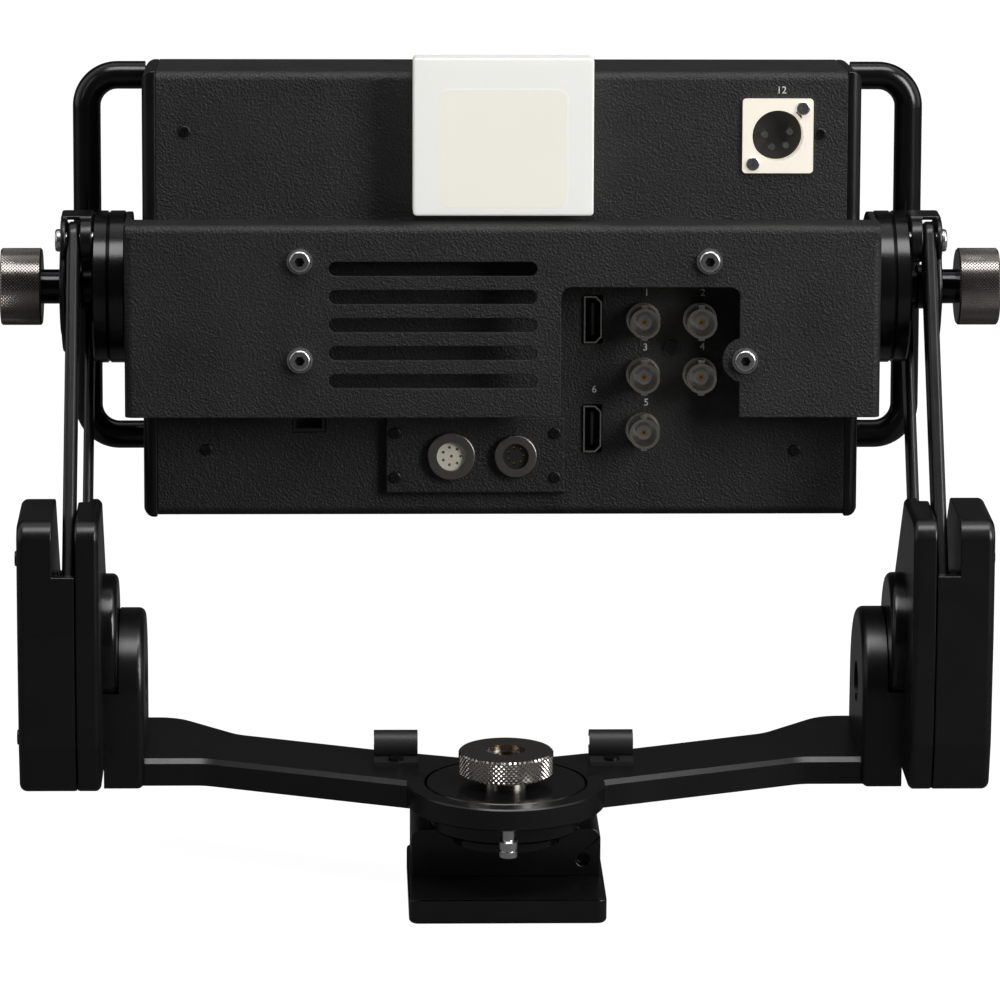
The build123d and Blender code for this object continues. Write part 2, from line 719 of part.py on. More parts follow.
# Pan stop pin, which meets the block at the end of the swing
with BuildPart() as stop_pin:
    pin_top = flange_top - STOP_NECK_LENGTH
    with BuildSketch(Plane.XY.offset(pin_top)):
        with Locations((0, -STOP_RADIUS)):
            Circle(STOP_R)
    extrude(amount=-STOP_LENGTH)
    chamfer(stop_pin.edges().filter_by(GeomType.CIRCLE), STOP_GROOVE_DEPTH)
    with BuildSketch(Plane.XY.offset(pin_top - STOP_LENGTH + STOP_GROOVE_UP)):
        with Locations((0, -STOP_RADIUS)):
            Circle(STOP_R)
            Circle(STOP_R - STOP_GROOVE_DEPTH, mode=Mode.SUBTRACT)
    extrude(amount=STOP_GROOVE_WIDTH, mode=Mode.SUBTRACT)
    with BuildSketch(Plane.XY.offset(pin_top)):
        with Locations((0, -STOP_RADIUS)):
            Circle(STOP_NECK_R)
    extrude(amount=STOP_NECK_LENGTH + STOP_GRIP)

# Two open cable clips, each a ring on a foot that is screwed to the crossbar
clip_z = hub_top + CLIP_R
with BuildPart() as cable_clips:
    for side in (-1, 1):
        with BuildSketch(side_plane(side * CLIP_X - CLIP_LENGTH / 2)):
            with Locations((CLIP_Y, clip_z)):
                Circle(CLIP_R)
            with Locations(((CLIP_FOOT_FRONT + CLIP_Y) / 2, hub_top + CLIP_WALL / 2)):
                Rectangle(CLIP_Y - CLIP_FOOT_FRONT, CLIP_WALL)
            with Locations((CLIP_Y, clip_z)):
                Circle(CLIP_R - CLIP_WALL, mode=Mode.SUBTRACT)
            with Locations((CLIP_Y + CLIP_R, clip_z)):
                Rectangle(2 * CLIP_R, CLIP_MOUTH, mode=Mode.SUBTRACT)
        extrude(amount=CLIP_LENGTH)
    with BuildSketch(Plane.XY.offset(hub_top)):
        with Locations((CLIP_X, CLIP_SCREW_Y), (-CLIP_X, CLIP_SCREW_Y)):
            Circle(SMALL_SCREW_R + SEAT)
    extrude(amount=CLIP_WALL, mode=Mode.SUBTRACT)


def rounded_housing(inner_x, outer_x):
    """One half of a link housing on the right-hand side, as a plain rounded slab."""
    with BuildPart() as slab:
        with BuildSketch(side_plane(inner_x)) as outline:
            with BuildLine():
                Polyline(
                    (HOUSING_BACK_Y + HOUSING_FOOT_LEAN, HOUSING_BOTTOM),
                    (HOUSING_BACK_Y, HOUSING_FACET_LOW),
                    (HOUSING_BACK_Y, HOUSING_FACET_HIGH),
                    (HOUSING_BACK_Y + HOUSING_TOP_LEAN, HOUSING_TOP),
                    (HOUSING_BACK_Y + HOUSING_TOP_LEAN + HOUSING_TOP_DEPTH, HOUSING_TOP),
                    (HOUSING_NOSE_Y, HOUSING_SHOULDER_Z),
                    (HOUSING_NOSE_Y, HOUSING_CHIN_Z),
                    (HOUSING_CHIN_Y, HOUSING_BOTTOM),
                    close=True,
                )
            make_face()
            rear_corner = (HOUSING_BACK_Y + HOUSING_TOP_LEAN, HOUSING_TOP)
            fillet(outline.vertices().sort_by_distance(rear_corner)[1:], HOUSING_ROUND)
            fillet(outline.vertices().sort_by_distance(rear_corner)[0], HOUSING_TOP_ROUND)
        extrude(amount=outer_x - inner_x)
    return slab.part


# Outer halves: the deep one with the slot of the rear link
slot_back_y = REAR_FOOT_Y - LINK_R - 2 * CLEAR
slot_floor_z = REAR_FOOT_Z - LINK_R - 2 * CLEAR
with BuildPart() as housing_outer_right:
    add(rounded_housing(split_x, housing_outer_x))
    fillet(housing_outer_right.faces().sort_by(Axis.X)[-1].outer_wire().edges(), HOUSING_EDGE)
    chamfer(housing_outer_right.faces().sort_by(Axis.X)[0].outer_wire().edges(), HOUSING_SEAM)
    with BuildSketch(side_plane(split_x)):
        with BuildLine():
            Polyline(
                (slot_back_y, slot_floor_z),
                (HOUSING_NOSE_Y + CUT_OVER, slot_floor_z),
                (HOUSING_NOSE_Y + CUT_OVER, HOUSING_TOP + CUT_OVER),
                (HOUSING_BACK_Y - CUT_OVER, HOUSING_TOP + CUT_OVER),
                (HOUSING_BACK_Y - CUT_OVER, SLOT_LEDGE),
                (slot_back_y, SLOT_LEDGE),
                close=True,
            )
        make_face()
    extrude(amount=SLOT_WIDTH, mode=Mode.SUBTRACT)
    with BuildSketch(side_plane(rear_link_end_x + PLAY)):
        with Locations((REAR_FOOT_Y, REAR_FOOT_Z)):
            Circle(BOSS_R)
    extrude(amount=slot_end_x - rear_link_end_x - PLAY)
    with BuildSketch(side_plane(split_x)):
        with Locations((REAR_FOOT_Y, REAR_FOOT_Z), (front_foot_y, front_foot_z)):
            Circle(PIN_R + SEAT)
    extrude(amount=pin_end_x - split_x, mode=Mode.SUBTRACT)
    with BuildSketch(side_plane(housing_outer_x)):
        with Locations(*LONG_SCREWS):
            Circle(SMALL_SCREW_R + SEAT)
    extrude(amount=-HOUSING_OUTER_THICK, mode=Mode.SUBTRACT)
    with BuildSketch(side_plane(housing_outer_x)):
        with Locations(*SHORT_SCREWS):
            Circle(SMALL_SCREW_R + SEAT)
    extrude(amount=-SHORT_SCREW_LENGTH, mode=Mode.SUBTRACT)

# Inner halves: the thinner ones with the pocket of the front link
pocket_back_y = front_foot_y - LINK_R - CLEAR
pocket_floor_z = front_foot_z - LINK_R - 2 * CLEAR
with BuildPart() as housing_inner_right:
    add(rounded_housing(housing_inner_x, split_x))
    chamfer(housing_inner_right.faces().sort_by(Axis.X)[0].outer_wire().edges(), HOUSING_EDGE / 2)
    chamfer(housing_inner_right.faces().sort_by(Axis.X)[-1].outer_wire().edges(), HOUSING_SEAM)
    with BuildSketch(side_plane(front_link_x - PLAY)):
        with BuildLine():
            Polyline(
                (pocket_back_y, pocket_floor_z),
                (HOUSING_NOSE_Y + CUT_OVER, pocket_floor_z),
                (HOUSING_NOSE_Y + CUT_OVER, HOUSING_TOP + CUT_OVER),
                (pocket_back_y, HOUSING_TOP + CUT_OVER),
                close=True,
            )
        make_face()
    extrude(amount=split_x - front_link_x + PLAY, mode=Mode.SUBTRACT)
    with BuildSketch(side_plane(pin_start_x)):
        with Locations((REAR_FOOT_Y, REAR_FOOT_Z), (front_foot_y, front_foot_z)):
            Circle(PIN_R + SEAT)
    extrude(amount=split_x - pin_start_x, mode=Mode.SUBTRACT)
    with BuildSketch(side_plane(housing_inner_x)):
        with Locations((LUG_Y, LUG_CENTRE_Z)):
            Circle(LUG_BOLT_R + SEAT)
    extrude(amount=LUG_BOLT_GRIP, mode=Mode.SUBTRACT)
    with BuildSketch(side_plane(split_x)):
        with Locations(*LONG_SCREWS):
            Circle(SMALL_SCREW_R + SEAT)
    extrude(amount=-SIDE_SCREW_GRIP, mode=Mode.SUBTRACT)

# Screws that hold the halves of one housing together, their heads proud of its outer face
with BuildPart() as side_screws:
    with BuildSketch(side_plane(housing_outer_x)):
        with Locations(*LONG_SCREWS, *SHORT_SCREWS):
            Circle(SMALL_HEAD_R)
    extrude(amount=SMALL_HEAD_HEIGHT)
    fillet(side_screws.edges().filter_by(GeomType.CIRCLE).group_by(Axis.X)[-1], SIDE_HEAD_ROUND)
    with BuildSketch(side_plane(housing_outer_x)):
        with Locations(*LONG_SCREWS):
            Circle(SMALL_SCREW_R)
    extrude(amount=-(HOUSING_OUTER_THICK + SIDE_SCREW_GRIP))
    with BuildSketch(side_plane(housing_outer_x)):
        with Locations(*SHORT_SCREWS):
            Circle(SMALL_SCREW_R)
    extrude(amount=-SHORT_SCREW_LENGTH)

# Small screws of the turning part: ring, clips and housings
with BuildPart() as turret_screws:
    with BuildSketch(Plane.XY.offset(hub_top - SMALL_HEAD_HEIGHT)):
        with Locations((RING_SCREW_X, RING_SCREW_Y), (-RING_SCREW_X, RING_SCREW_Y)):
            Circle(SMALL_HEAD_R)
    extrude(amount=SMALL_HEAD_HEIGHT)
    with BuildSketch(Plane.XY.offset(hub_top - SMALL_HEAD_HEIGHT)):
        with Locations((RING_SCREW_X, RING_SCREW_Y), (-RING_SCREW_X, RING_SCREW_Y)):
            Circle(SMALL_SCREW_R)
    extrude(amount=-RING_SCREW_LENGTH)
    with BuildSketch(Plane.XY.offset(hub_top + CLIP_WALL)):
        with Locations((CLIP_X, CLIP_SCREW_Y), (-CLIP_X, CLIP_SCREW_Y)):
            Circle(SMALL_HEAD_R)
    extrude(amount=SMALL_HEAD_HEIGHT)
    with BuildSketch(Plane.XY.offset(hub_top + CLIP_WALL)):
        with Locations((CLIP_X, CLIP_SCREW_Y), (-CLIP_X, CLIP_SCREW_Y)):
            Circle(SMALL_SCREW_R)
    extrude(amount=-(CLIP_WALL + RING_SCREW_LENGTH))
    add(side_screws.part)
    add(side_screws.part.mirror(Plane.YZ))

# Round discs between the lugs and the housings
with BuildPart() as pivot_discs:
    with BuildSketch(side_plane(disc_inner_x)):
        with Locations((front_foot_y, front_foot_z)):
            Circle(DISC_R)
    extrude(amount=DISC_THICK)
    fillet(pivot_discs.edges().filter_by(GeomType.CIRCLE).sort_by(Axis.X)[0], DISC_ROUND)
    with BuildSketch(side_plane(disc_inner_x)):
        with Locations((LUG_Y, LUG_CENTRE_Z)):
            Circle(LUG_BOLT_R + SEAT)
    extrude(amount=DISC_THICK, mode=Mode.SUBTRACT)
    mirror(about=Plane.YZ)

# Bolts through the lugs and discs into the housings
with BuildPart() as lug_bolts:
    with BuildSketch(side_plane(lug_x + LUG_HOLE_DEPTH)):
        with Locations((LUG_Y, LUG_CENTRE_Z)):
            Circle(LUG_BOLT_HEAD_R)
    extrude(amount=-LUG_BOLT_HEAD_HEIGHT)
    with BuildSketch(side_plane(lug_x + LUG_HOLE_DEPTH)):
        with Locations((LUG_Y, LUG_CENTRE_Z)):
            Circle(LUG_BOLT_R)
    extrude(amount=LUG_THICK - LUG_HOLE_DEPTH + LUG_BOLT_GRIP)
    with BuildSketch(side_plane(lug_x + LUG_HOLE_DEPTH - LUG_BOLT_HEAD_HEIGHT)):
        with Locations((LUG_Y, LUG_CENTRE_Z)):
            RegularPolygon(LUG_BOLT_R, 6)
    extrude(amount=LUG_BOLT_R, mode=Mode.SUBTRACT)
    mirror(about=Plane.YZ)

# Pins that the links turn on, held in both halves of each housing
with BuildPart() as lower_pivot_pins:
    with BuildSketch(side_plane(pin_start_x)):
        with Locations((REAR_FOOT_Y, REAR_FOOT_Z), (front_foot_y, front_foot_z)):
            Circle(PIN_R)
    extrude(amount=pin_end_x - pin_start_x)
    mirror(about=Plane.YZ)

# Parallel links. A front and a rear link on each side keep the display level as it rises
link_rise = rear_head_z - REAR_FOOT_Z
link_reach = rear_head_y - REAR_FOOT_Y
link_length = math.hypot(link_reach, link_rise)
link_angle = math.degrees(math.atan2(link_rise, link_reach))


def link_pair(inner_x, thick, foot_y, foot_z):
    """Link on the right-hand side and its twin on the left."""
    with BuildPart() as links:
        with BuildSketch(side_plane(inner_x)):
            with Locations((foot_y + link_reach / 2, foot_z + link_rise / 2)):
                SlotCenterToCenter(link_length, 2 * LINK_R, rotation=link_angle)
        extrude(amount=thick)
        chamfer(links.faces().sort_by(Axis.X)[0].outer_wire().edges(), LINK_BEVEL)
        chamfer(links.faces().sort_by(Axis.X)[-1].outer_wire().edges(), LINK_BEVEL)
        with BuildSketch(side_plane(inner_x)):
            with Locations((foot_y, foot_z), (foot_y + link_reach, foot_z + link_rise)):
                Circle(PIN_R + RUN)
        extrude(amount=thick, mode=Mode.SUBTRACT)
        mirror(about=Plane.YZ)
    return links.part


rear_links = link_pair(rear_link_x, REAR_LINK_THICK, REAR_FOOT_Y, REAR_FOOT_Z)
front_links = link_pair(front_link_x, FRONT_LINK_THICK, front_foot_y, front_foot_z)

# Heads: an upright plate outside the links, with a lip over them and bosses between them
lip_centre = (TILT_Y - HEAD_BACK / 2, TILT_Z + HEAD_TOP - HEAD_LIP / 2)
with BuildPart() as head_right:
    with BuildSketch(side_plane(head_plate_x)):
        with Locations((TILT_Y - HEAD_BACK / 2, TILT_Z + HEAD_TOP / 2)):
            Rectangle(HEAD_BACK, HEAD_TOP)
        with Locations((rear_head_y, rear_head_z)):
            Circle(HEAD_EAR_R)
        with Locations((TILT_Y, TILT_Z)):
            Circle(HEAD_R)
    extrude(amount=HEAD_PLATE)
    chamfer(head_right.faces().sort_by(Axis.X)[-1].outer_wire().edges(), HEAD_EDGE)
    with BuildSketch(side_plane(outer_disc_x)):
        with Locations(lip_centre):
            Rectangle(HEAD_BACK, HEAD_LIP)
        with Locations((rear_head_y, rear_head_z)):
            Circle(HEAD_EAR_R)
    extrude(amount=rear_link_x - PLAY - outer_disc_x)
    with BuildSketch(side_plane(outer_disc_x)):
        with Locations(lip_centre):
            Rectangle(HEAD_BACK, HEAD_LIP)
    extrude(amount=head_plate_x - outer_disc_x)
    with BuildSketch(side_plane(front_link_end_x + PLAY)):
        with Locations((TILT_Y, TILT_Z)):
            Circle(HEAD_HUB_R)
        with Locations((front_head_y, front_head_z)):
            Circle(BOSS_R)
    extrude(amount=head_plate_x - front_link_end_x - PLAY)
    with BuildSketch(side_plane(outer_disc_x)):
        with Locations((TILT_Y, TILT_Z)):
            Circle(STUD_R + RUN)
        with Locations((rear_head_y, rear_head_z), (front_head_y, front_head_z)):
            Circle(PIN_R + SEAT)
    extrude(amount=head_end_x - outer_disc_x, mode=Mode.SUBTRACT)

# Flat covers over the tilt hubs
with BuildPart() as head_covers:
    with BuildSketch(side_plane(head_end_x)):
        with Locations((TILT_Y, TILT_Z)):
            Circle(COVER_R)
    extrude(amount=COVER_RISE)
    fillet(head_covers.edges().filter_by(GeomType.CIRCLE).sort_by(Axis.X)[-1], COVER_RISE - COVER_RIM)
    with BuildSketch(side_plane(head_end_x)):
        with Locations((TILT_Y, TILT_Z)):
            Circle(STUD_TIP_R + CLEAR)
    extrude(amount=COVER_RISE, mode=Mode.SUBTRACT)
    mirror(about=Plane.YZ)

# Pins at the upper ends of the links, the rear ones with round heads outside
with BuildPart() as upper_pivot_pins:
    with BuildSketch(side_plane(outer_disc_x - PIN_SEAT_DEPTH)):
        with Locations((rear_head_y, rear_head_z), (front_head_y, front_head_z)):
            Circle(PIN_R)
    extrude(amount=head_end_x - outer_disc_x + PIN_SEAT_DEPTH)
    with BuildSketch(side_plane(head_end_x)):
        with Locations((rear_head_y, rear_head_z)):
            Circle(PIVOT_HEAD_R)
    extrude(amount=PIVOT_HEAD_RISE)
    fillet(upper_pivot_pins.edges().filter_by(GeomType.CIRCLE).sort_by(Axis.X)[-1], PIVOT_HEAD_RISE / 2)
    mirror(about=Plane.YZ)

# Friction discs: the outer ones on the heads, the inner ones on the display
with BuildPart() as outer_friction_discs:
    with BuildSketch(side_plane(inner_disc_x)):
        with Locations((TILT_Y, TILT_Z)):
            Circle(FRICTION_R)
    extrude(amount=OUTER_DISC_THICK)
    chamfer(outer_friction_discs.edges().filter_by(GeomType.CIRCLE), DISC_EDGE)
    with BuildSketch(side_plane(inner_disc_x)):
        with Locations((TILT_Y, TILT_Z)):
            Circle(STUD_R + RUN)
    extrude(amount=OUTER_DISC_THICK, mode=Mode.SUBTRACT)
    with BuildSketch(side_plane(outer_disc_x)):
        with Locations((rear_head_y, rear_head_z), (front_head_y, front_head_z)):
            Circle(PIN_R + SEAT)
    extrude(amount=-PIN_SEAT_DEPTH, mode=Mode.SUBTRACT)
    mirror(about=Plane.YZ)

with BuildPart() as inner_friction_discs:
    with BuildSketch(side_plane(flange_x)):
        with Locations((TILT_Y, TILT_Z)):
            Circle(FRICTION_R)
    extrude(amount=INNER_DISC_THICK)
    chamfer(inner_friction_discs.edges().filter_by(GeomType.CIRCLE), DISC_EDGE)
    with BuildSketch(side_plane(flange_x)):
        with Locations((TILT_Y, TILT_Z)):
            Circle(STUD_R + SEAT)
    extrude(amount=INNER_DISC_THICK, mode=Mode.SUBTRACT)
    mirror(about=Plane.YZ)

# Tilt studs from inside the bracket out to the knobs
stud_head_x = flange_x - BRACKET_THICK
with BuildPart() as tilt_studs:
    with BuildSketch(side_plane(stud_head_x)):
        with Locations((TILT_Y, TILT_Z)):
            Circle(STUD_HEAD_R)
    extrude(amount=-STUD_HEAD_THICK)
    with BuildSketch(side_plane(stud_head_x)):
        with Locations((TILT_Y, TILT_Z)):
            Circle(STUD_R)
    extrude(amount=head_end_x - PLAY - stud_head_x)
    with BuildSketch(side_plane(head_end_x - PLAY)):
        with Locations((TILT_Y, TILT_Z)):
            Circle(STUD_TIP_R)
    extrude(amount=sleeve_end_x + TILT_BORE_DEPTH - CLEAR - head_end_x + PLAY)
    mirror(about=Plane.YZ)

# Tilt knobs: knurled rim on a plain sleeve, blind outside
with BuildPart() as tilt_knob_right:
    with BuildSketch(side_plane(cover_end_x)):
        with Locations((TILT_Y, TILT_Z)):
            Circle(TILT_SLEEVE_R)
    extrude(amount=TILT_SLEEVE_LENGTH)
    with BuildSketch(side_plane(sleeve_end_x)):
        with Locations((TILT_Y, TILT_Z)):
            Circle(TILT_KNOB_R)
    extrude(amount=TILT_KNOB_LENGTH)
    chamfer(tilt_knob_right.edges().filter_by(GeomType.CIRCLE).sort_by(SortBy.RADIUS)[-2:], TILT_KNOB_EDGE)
    with BuildSketch(side_plane(cover_end_x)):
        with Locations((TILT_Y, TILT_Z)):
            Circle(STUD_TIP_R + RUN)
    extrude(amount=TILT_SLEEVE_LENGTH + TILT_BORE_DEPTH, mode=Mode.SUBTRACT)

keep("stop_pin", stop_pin.part)
keep("cable_clips", cable_clips.part)
keep("housing_outer_right", housing_outer_right.part)
keep("housing_outer_left", housing_outer_right.part.mirror(Plane.YZ))
keep("housing_inner_right", housing_inner_right.part)
keep("housing_inner_left", housing_inner_right.part.mirror(Plane.YZ))
keep("turret_screws", turret_screws.part)
keep("pivot_discs", pivot_discs.part)
keep("lug_bolts", lug_bolts.part)
keep("lower_pivot_pins", lower_pivot_pins.part)
keep("rear_links", rear_links)
keep("front_links", front_links)
keep("head_right", head_right.part)
keep("head_left", head_right.part.mirror(Plane.YZ))
keep("head_covers", head_covers.part)
keep("upper_pivot_pins", upper_pivot_pins.part)
keep("outer_friction_discs", outer_friction_discs.part)
keep_leaned("inner_friction_discs", inner_friction_discs.part)
keep_leaned("tilt_studs", tilt_studs.part)
keep_leaned("tilt_knob_right", tilt_knob_right.part)
keep_leaned("tilt_knob_left", tilt_knob_right.part.mirror(Plane.YZ))

power_screw_points = [(power_x + side * POWER_SCREW_X, POWER_Z + side * POWER_SCREW_Z) for side in (-1, 1)]
coax_points = [(x, z) for z in COAX_Z for x in COAX_X][:COAX_COUNT]
digital_points = [(DIGITAL_X, z) for z in DIGITAL_Z]
window_points = [(0, WINDOW_UP)]
sub_x = (SUB_LEFT + SUB_RIGHT) / 2
sub_z = (SUB_TOP + SUB_BOTTOM) / 2
sub_screw_points = [
    (sub_x + side * ((SUB_RIGHT - SUB_LEFT) / 2 - SUB_SCREW_INSET_X), z)
    for side in (-1, 1)
    for z in (SUB_TOP - SUB_SCREW_INSET_Z, SUB_BOTTOM + SUB_SCREW_INSET_Z)
]
board_feet = [
    (side * (board_width / 2 - BOARD_FOOT_INSET), up * (BOARD_HEIGHT / 2 - BOARD_FOOT_INSET))
    for side in (-1, 1)
    for up in (-1, 1)
]
screw_points = [*left_screws, *right_screws]

# Rear cover: a sheet bent over the top and the bottom, pierced for every socket
with BuildPart() as rear_cover:
    with BuildSketch(side_plane(-inner_half_width)) as cover_outline:
        with Locations(((panel_y + bezel_back_y) / 2, TILT_Z + (CASE_TOP - CASE_BOTTOM) / 2)):
            Rectangle(bezel_back_y - panel_y, CASE_TOP + CASE_BOTTOM)
        fillet(cover_outline.vertices().group_by(Axis.X)[0], COVER_BEND)
    extrude(amount=2 * inner_half_width)
    with BuildSketch(side_plane(-inner_half_width)) as cover_inside:
        with Locations(((panel_inner_y + bezel_back_y) / 2, TILT_Z + (CASE_TOP - CASE_BOTTOM) / 2)):
            Rectangle(bezel_back_y - panel_inner_y, CASE_TOP + CASE_BOTTOM - 2 * SHEET)
        fillet(cover_inside.vertices().group_by(Axis.X)[0], COVER_BEND - SHEET)
    extrude(amount=2 * inner_half_width, mode=Mode.SUBTRACT)
    with BuildSketch(rear_plane(panel_inner_y)):
        with Locations(*board_feet):
            Circle(BOARD_FOOT_R)
    extrude(amount=-BOARD_STAND)
    with BuildSketch(rear_plane(panel_inner_y)):
        with Locations(*BRACKET_SCREWS):
            Circle(SPACER_R)
    extrude(amount=-COVER_NUT)
    with BuildSketch(rear_plane(panel_y)):
        with Locations((power_x, POWER_Z)):
            Circle(POWER_R + POWER_SHELL + FIT_GAP)
        with Locations(*coax_points):
            Circle(COAX_TAIL_R + SEAT)
        with Locations(*digital_points):
            Rectangle(DIGITAL_WIDTH + 2 * FIT_GAP, DIGITAL_HEIGHT + 2 * FIT_GAP)
        with Locations((ROUND_A_X, ROUND_Z)):
            Circle(ROUND_A_INSERT_R + ROUND_WALL + SEAT)
        with Locations((ROUND_B_X, ROUND_Z)):
            Circle(ROUND_B_INSERT_R + ROUND_WALL + SEAT)
        with Locations((SERVICE_X, SERVICE_Z)):
            Rectangle(SERVICE_WIDTH + 2 * FIT_GAP, SERVICE_HEIGHT + 2 * FIT_GAP)
        with Locations(*screw_points, CENTRE_SCREW, *sub_screw_points):
            Circle(CASE_SCREW_R + SEAT)
    extrude(amount=-SHEET, mode=Mode.SUBTRACT)
    with BuildSketch(rear_plane(panel_y)):
        with Locations(*power_screw_points):
            Circle(CASE_SCREW_R + SEAT)
        with Locations(*BRACKET_SCREWS):
            Circle(CAP_SHANK_R + SEAT)
    extrude(amount=-(SHEET + COVER_NUT), mode=Mode.SUBTRACT)

# End plates, with lugs behind the rear cover for its screws and sockets for the handle
handle_points = ((HANDLE_AHEAD, HANDLE_TOP), (HANDLE_AHEAD, -HANDLE_BOTTOM))


def end_plate(side):
    """End plate on one side, +1 for the right."""
    face_x = side * inner_half_width
    plate_bottom = CASE_BOTTOM + END_PLATE_OVER
    own_screws = right_screws if side > 0 else left_screws
    with BuildPart() as plate:
        with BuildSketch(side_plane(face_x)):
            with Locations(((panel_y + front_y) / 2, TILT_Z + (CASE_TOP - plate_bottom) / 2)):
                Rectangle(front_y - panel_y, CASE_TOP + plate_bottom)
        extrude(amount=side * END_PLATE_THICK)
        outer_face = plate.faces().sort_by(Axis.X)[-1 if side > 0 else 0]
        fillet(outer_face.outer_wire().edges(), END_PLATE_EDGE)
        for x, z in own_screws:
            with BuildSketch(rear_plane(panel_inner_y)):
                with Locations(((x + face_x) / 2 - side * SCREW_LUG / 2, z)):
                    Rectangle(abs(face_x - x) + SCREW_LUG, 2 * SCREW_LUG)
            extrude(amount=-SCREW_LUG_DEPTH)
        with BuildSketch(rear_plane(panel_inner_y)):
            with Locations(*own_screws):
                Circle(CASE_SCREW_R + SEAT)
        extrude(amount=-SCREW_LUG_DEPTH, mode=Mode.SUBTRACT)
        with BuildSketch(side_plane(side * CASE_HALF_WIDTH)):
            with Locations(*[(TILT_Y + y, TILT_Z + z) for y, z in handle_points]):
                Circle(HANDLE_SPIGOT_R + SEAT)
        extrude(amount=-side * HANDLE_SPIGOT, mode=Mode.SUBTRACT)
    return plate.part


# Handles: a bent tube on each end plate, with a thinner spigot at each end
with BuildPart() as handle_right:
    with BuildLine() as handle_path:
        FilletPolyline(
            (CASE_HALF_WIDTH, TILT_Y + HANDLE_AHEAD, TILT_Z + HANDLE_TOP),
            (handle_out_x, TILT_Y + HANDLE_AHEAD, TILT_Z + HANDLE_TOP),
            (handle_out_x, TILT_Y + HANDLE_AHEAD, TILT_Z - HANDLE_BOTTOM),
            (CASE_HALF_WIDTH, TILT_Y + HANDLE_AHEAD, TILT_Z - HANDLE_BOTTOM),
            radius=HANDLE_BEND,
        )
    with BuildSketch(Plane(origin=handle_path.line @ 0, z_dir=handle_path.line % 0)):
        Circle(HANDLE_R)
    sweep(path=handle_path.line)
    with BuildSketch(side_plane(CASE_HALF_WIDTH)):
        with Locations(*[(TILT_Y + y, TILT_Z + z) for y, z in handle_points]):
            Circle(HANDLE_SPIGOT_R)
    extrude(amount=-(HANDLE_SPIGOT - PLAY))

# Front bezel: a frame with a rebate behind the window for the glass and the panel
lcd_width = window_width + 2 * LCD_BORDER
lcd_height = WINDOW_HEIGHT + 2 * LCD_BORDER
glass_width = window_width + 2 * GLASS_BORDER
glass_height = WINDOW_HEIGHT + 2 * GLASS_BORDER
dial_points = [(x, CONTROL_Z) for x in dial_places]
button_points = [(x, CONTROL_Z) for x in BUTTON_X]
with BuildPart() as front_bezel:
    with BuildSketch(front_plane(bezel_back_y)):
        with Locations((0, (CASE_TOP - CASE_BOTTOM) / 2)):
            Rectangle(2 * inner_half_width, CASE_TOP + CASE_BOTTOM)
        with Locations(*window_points):
            Rectangle(window_width, WINDOW_HEIGHT, mode=Mode.SUBTRACT)
    extrude(amount=BEZEL_DEPTH)
    with BuildSketch(front_plane(bezel_back_y)):
        with Locations(*window_points):
            Rectangle(glass_width + 2 * FIT_GAP, glass_height + 2 * FIT_GAP)
    extrude(amount=LCD_THICK + GLASS_THICK, mode=Mode.SUBTRACT)
    with BuildSketch(front_plane(bezel_back_y)):
        with Locations(*window_points):
            Rectangle(lcd_width + 2 * FIT_GAP, lcd_height + 2 * FIT_GAP)
    extrude(amount=LCD_THICK, mode=Mode.SUBTRACT)
    with BuildSketch(front_plane(bezel_back_y)):
        with Locations(*dial_points):
            Circle(DIAL_SHAFT_R + RUN)
        with Locations(*button_points):
            Circle(BUTTON_R + RUN)
    extrude(amount=BEZEL_DEPTH, mode=Mode.SUBTRACT)

with BuildPart() as lcd_panel:
    with BuildSketch(front_plane(bezel_back_y)):
        with Locations(*window_points):
            Rectangle(lcd_width, lcd_height)
    extrude(amount=LCD_THICK)

with BuildPart() as front_glass:
    with BuildSketch(front_plane(bezel_back_y + LCD_THICK)):
        with Locations(*window_points):
            Rectangle(glass_width, glass_height)
    extrude(amount=GLASS_THICK)

# Boards
with BuildPart() as main_board:
    with BuildSketch(rear_plane(board_y)):
        Rectangle(board_width, BOARD_HEIGHT)
    extrude(amount=-BOARD_THICK)

with BuildPart() as control_board:
    with BuildSketch(rear_plane(bezel_back_y)):
        with Locations((0, CONTROL_Z)):
            Rectangle(control_board_width, CONTROL_BOARD_HEIGHT)
        with Locations(*[(-x, z) for x, z in button_points]):
            Circle(BUTTON_R + BUTTON_GAP, mode=Mode.SUBTRACT)
    extrude(amount=BOARD_THICK)

# Controls below the screen
button_depth = BEZEL_DEPTH - BUTTON_TRAVEL - CLEAR


def dial(x):
    """Rotary control at one place of the lower strip."""
    with BuildPart() as turned:
        with BuildSketch(front_plane(front_y + DIAL_STAND)):
            with Locations((x, CONTROL_Z)):
                Circle(DIAL_R)
        extrude(amount=DIAL_HEIGHT)
        chamfer(turned.edges().filter_by(GeomType.CIRCLE).sort_by(Axis.Y)[-1], DIAL_MARK)
        with BuildSketch(front_plane(front_y + DIAL_STAND)):
            with Locations((x, CONTROL_Z)):
                Circle(DIAL_SHAFT_R)
        extrude(amount=-(DIAL_STAND + BEZEL_DEPTH - FIT_GAP))
        with BuildSketch(front_plane(front_y + DIAL_STAND + DIAL_HEIGHT)):
            with Locations((x, CONTROL_Z + DIAL_R / 2)):
                Rectangle(DIAL_MARK * 2, DIAL_R)
        extrude(amount=-DIAL_MARK, mode=Mode.SUBTRACT)
    return turned.part


def button(x):
    """Push button at one place of the lower strip."""
    with BuildPart() as pressed:
        with BuildSketch(front_plane(front_y + BUTTON_OUT)):
            with Locations((x, CONTROL_Z)):
                Circle(BUTTON_R)
        extrude(amount=-(BUTTON_OUT + button_depth))
        fillet(pressed.edges().filter_by(GeomType.CIRCLE).sort_by(Axis.Y)[-1], BUTTON_DOME)
    return pressed.part


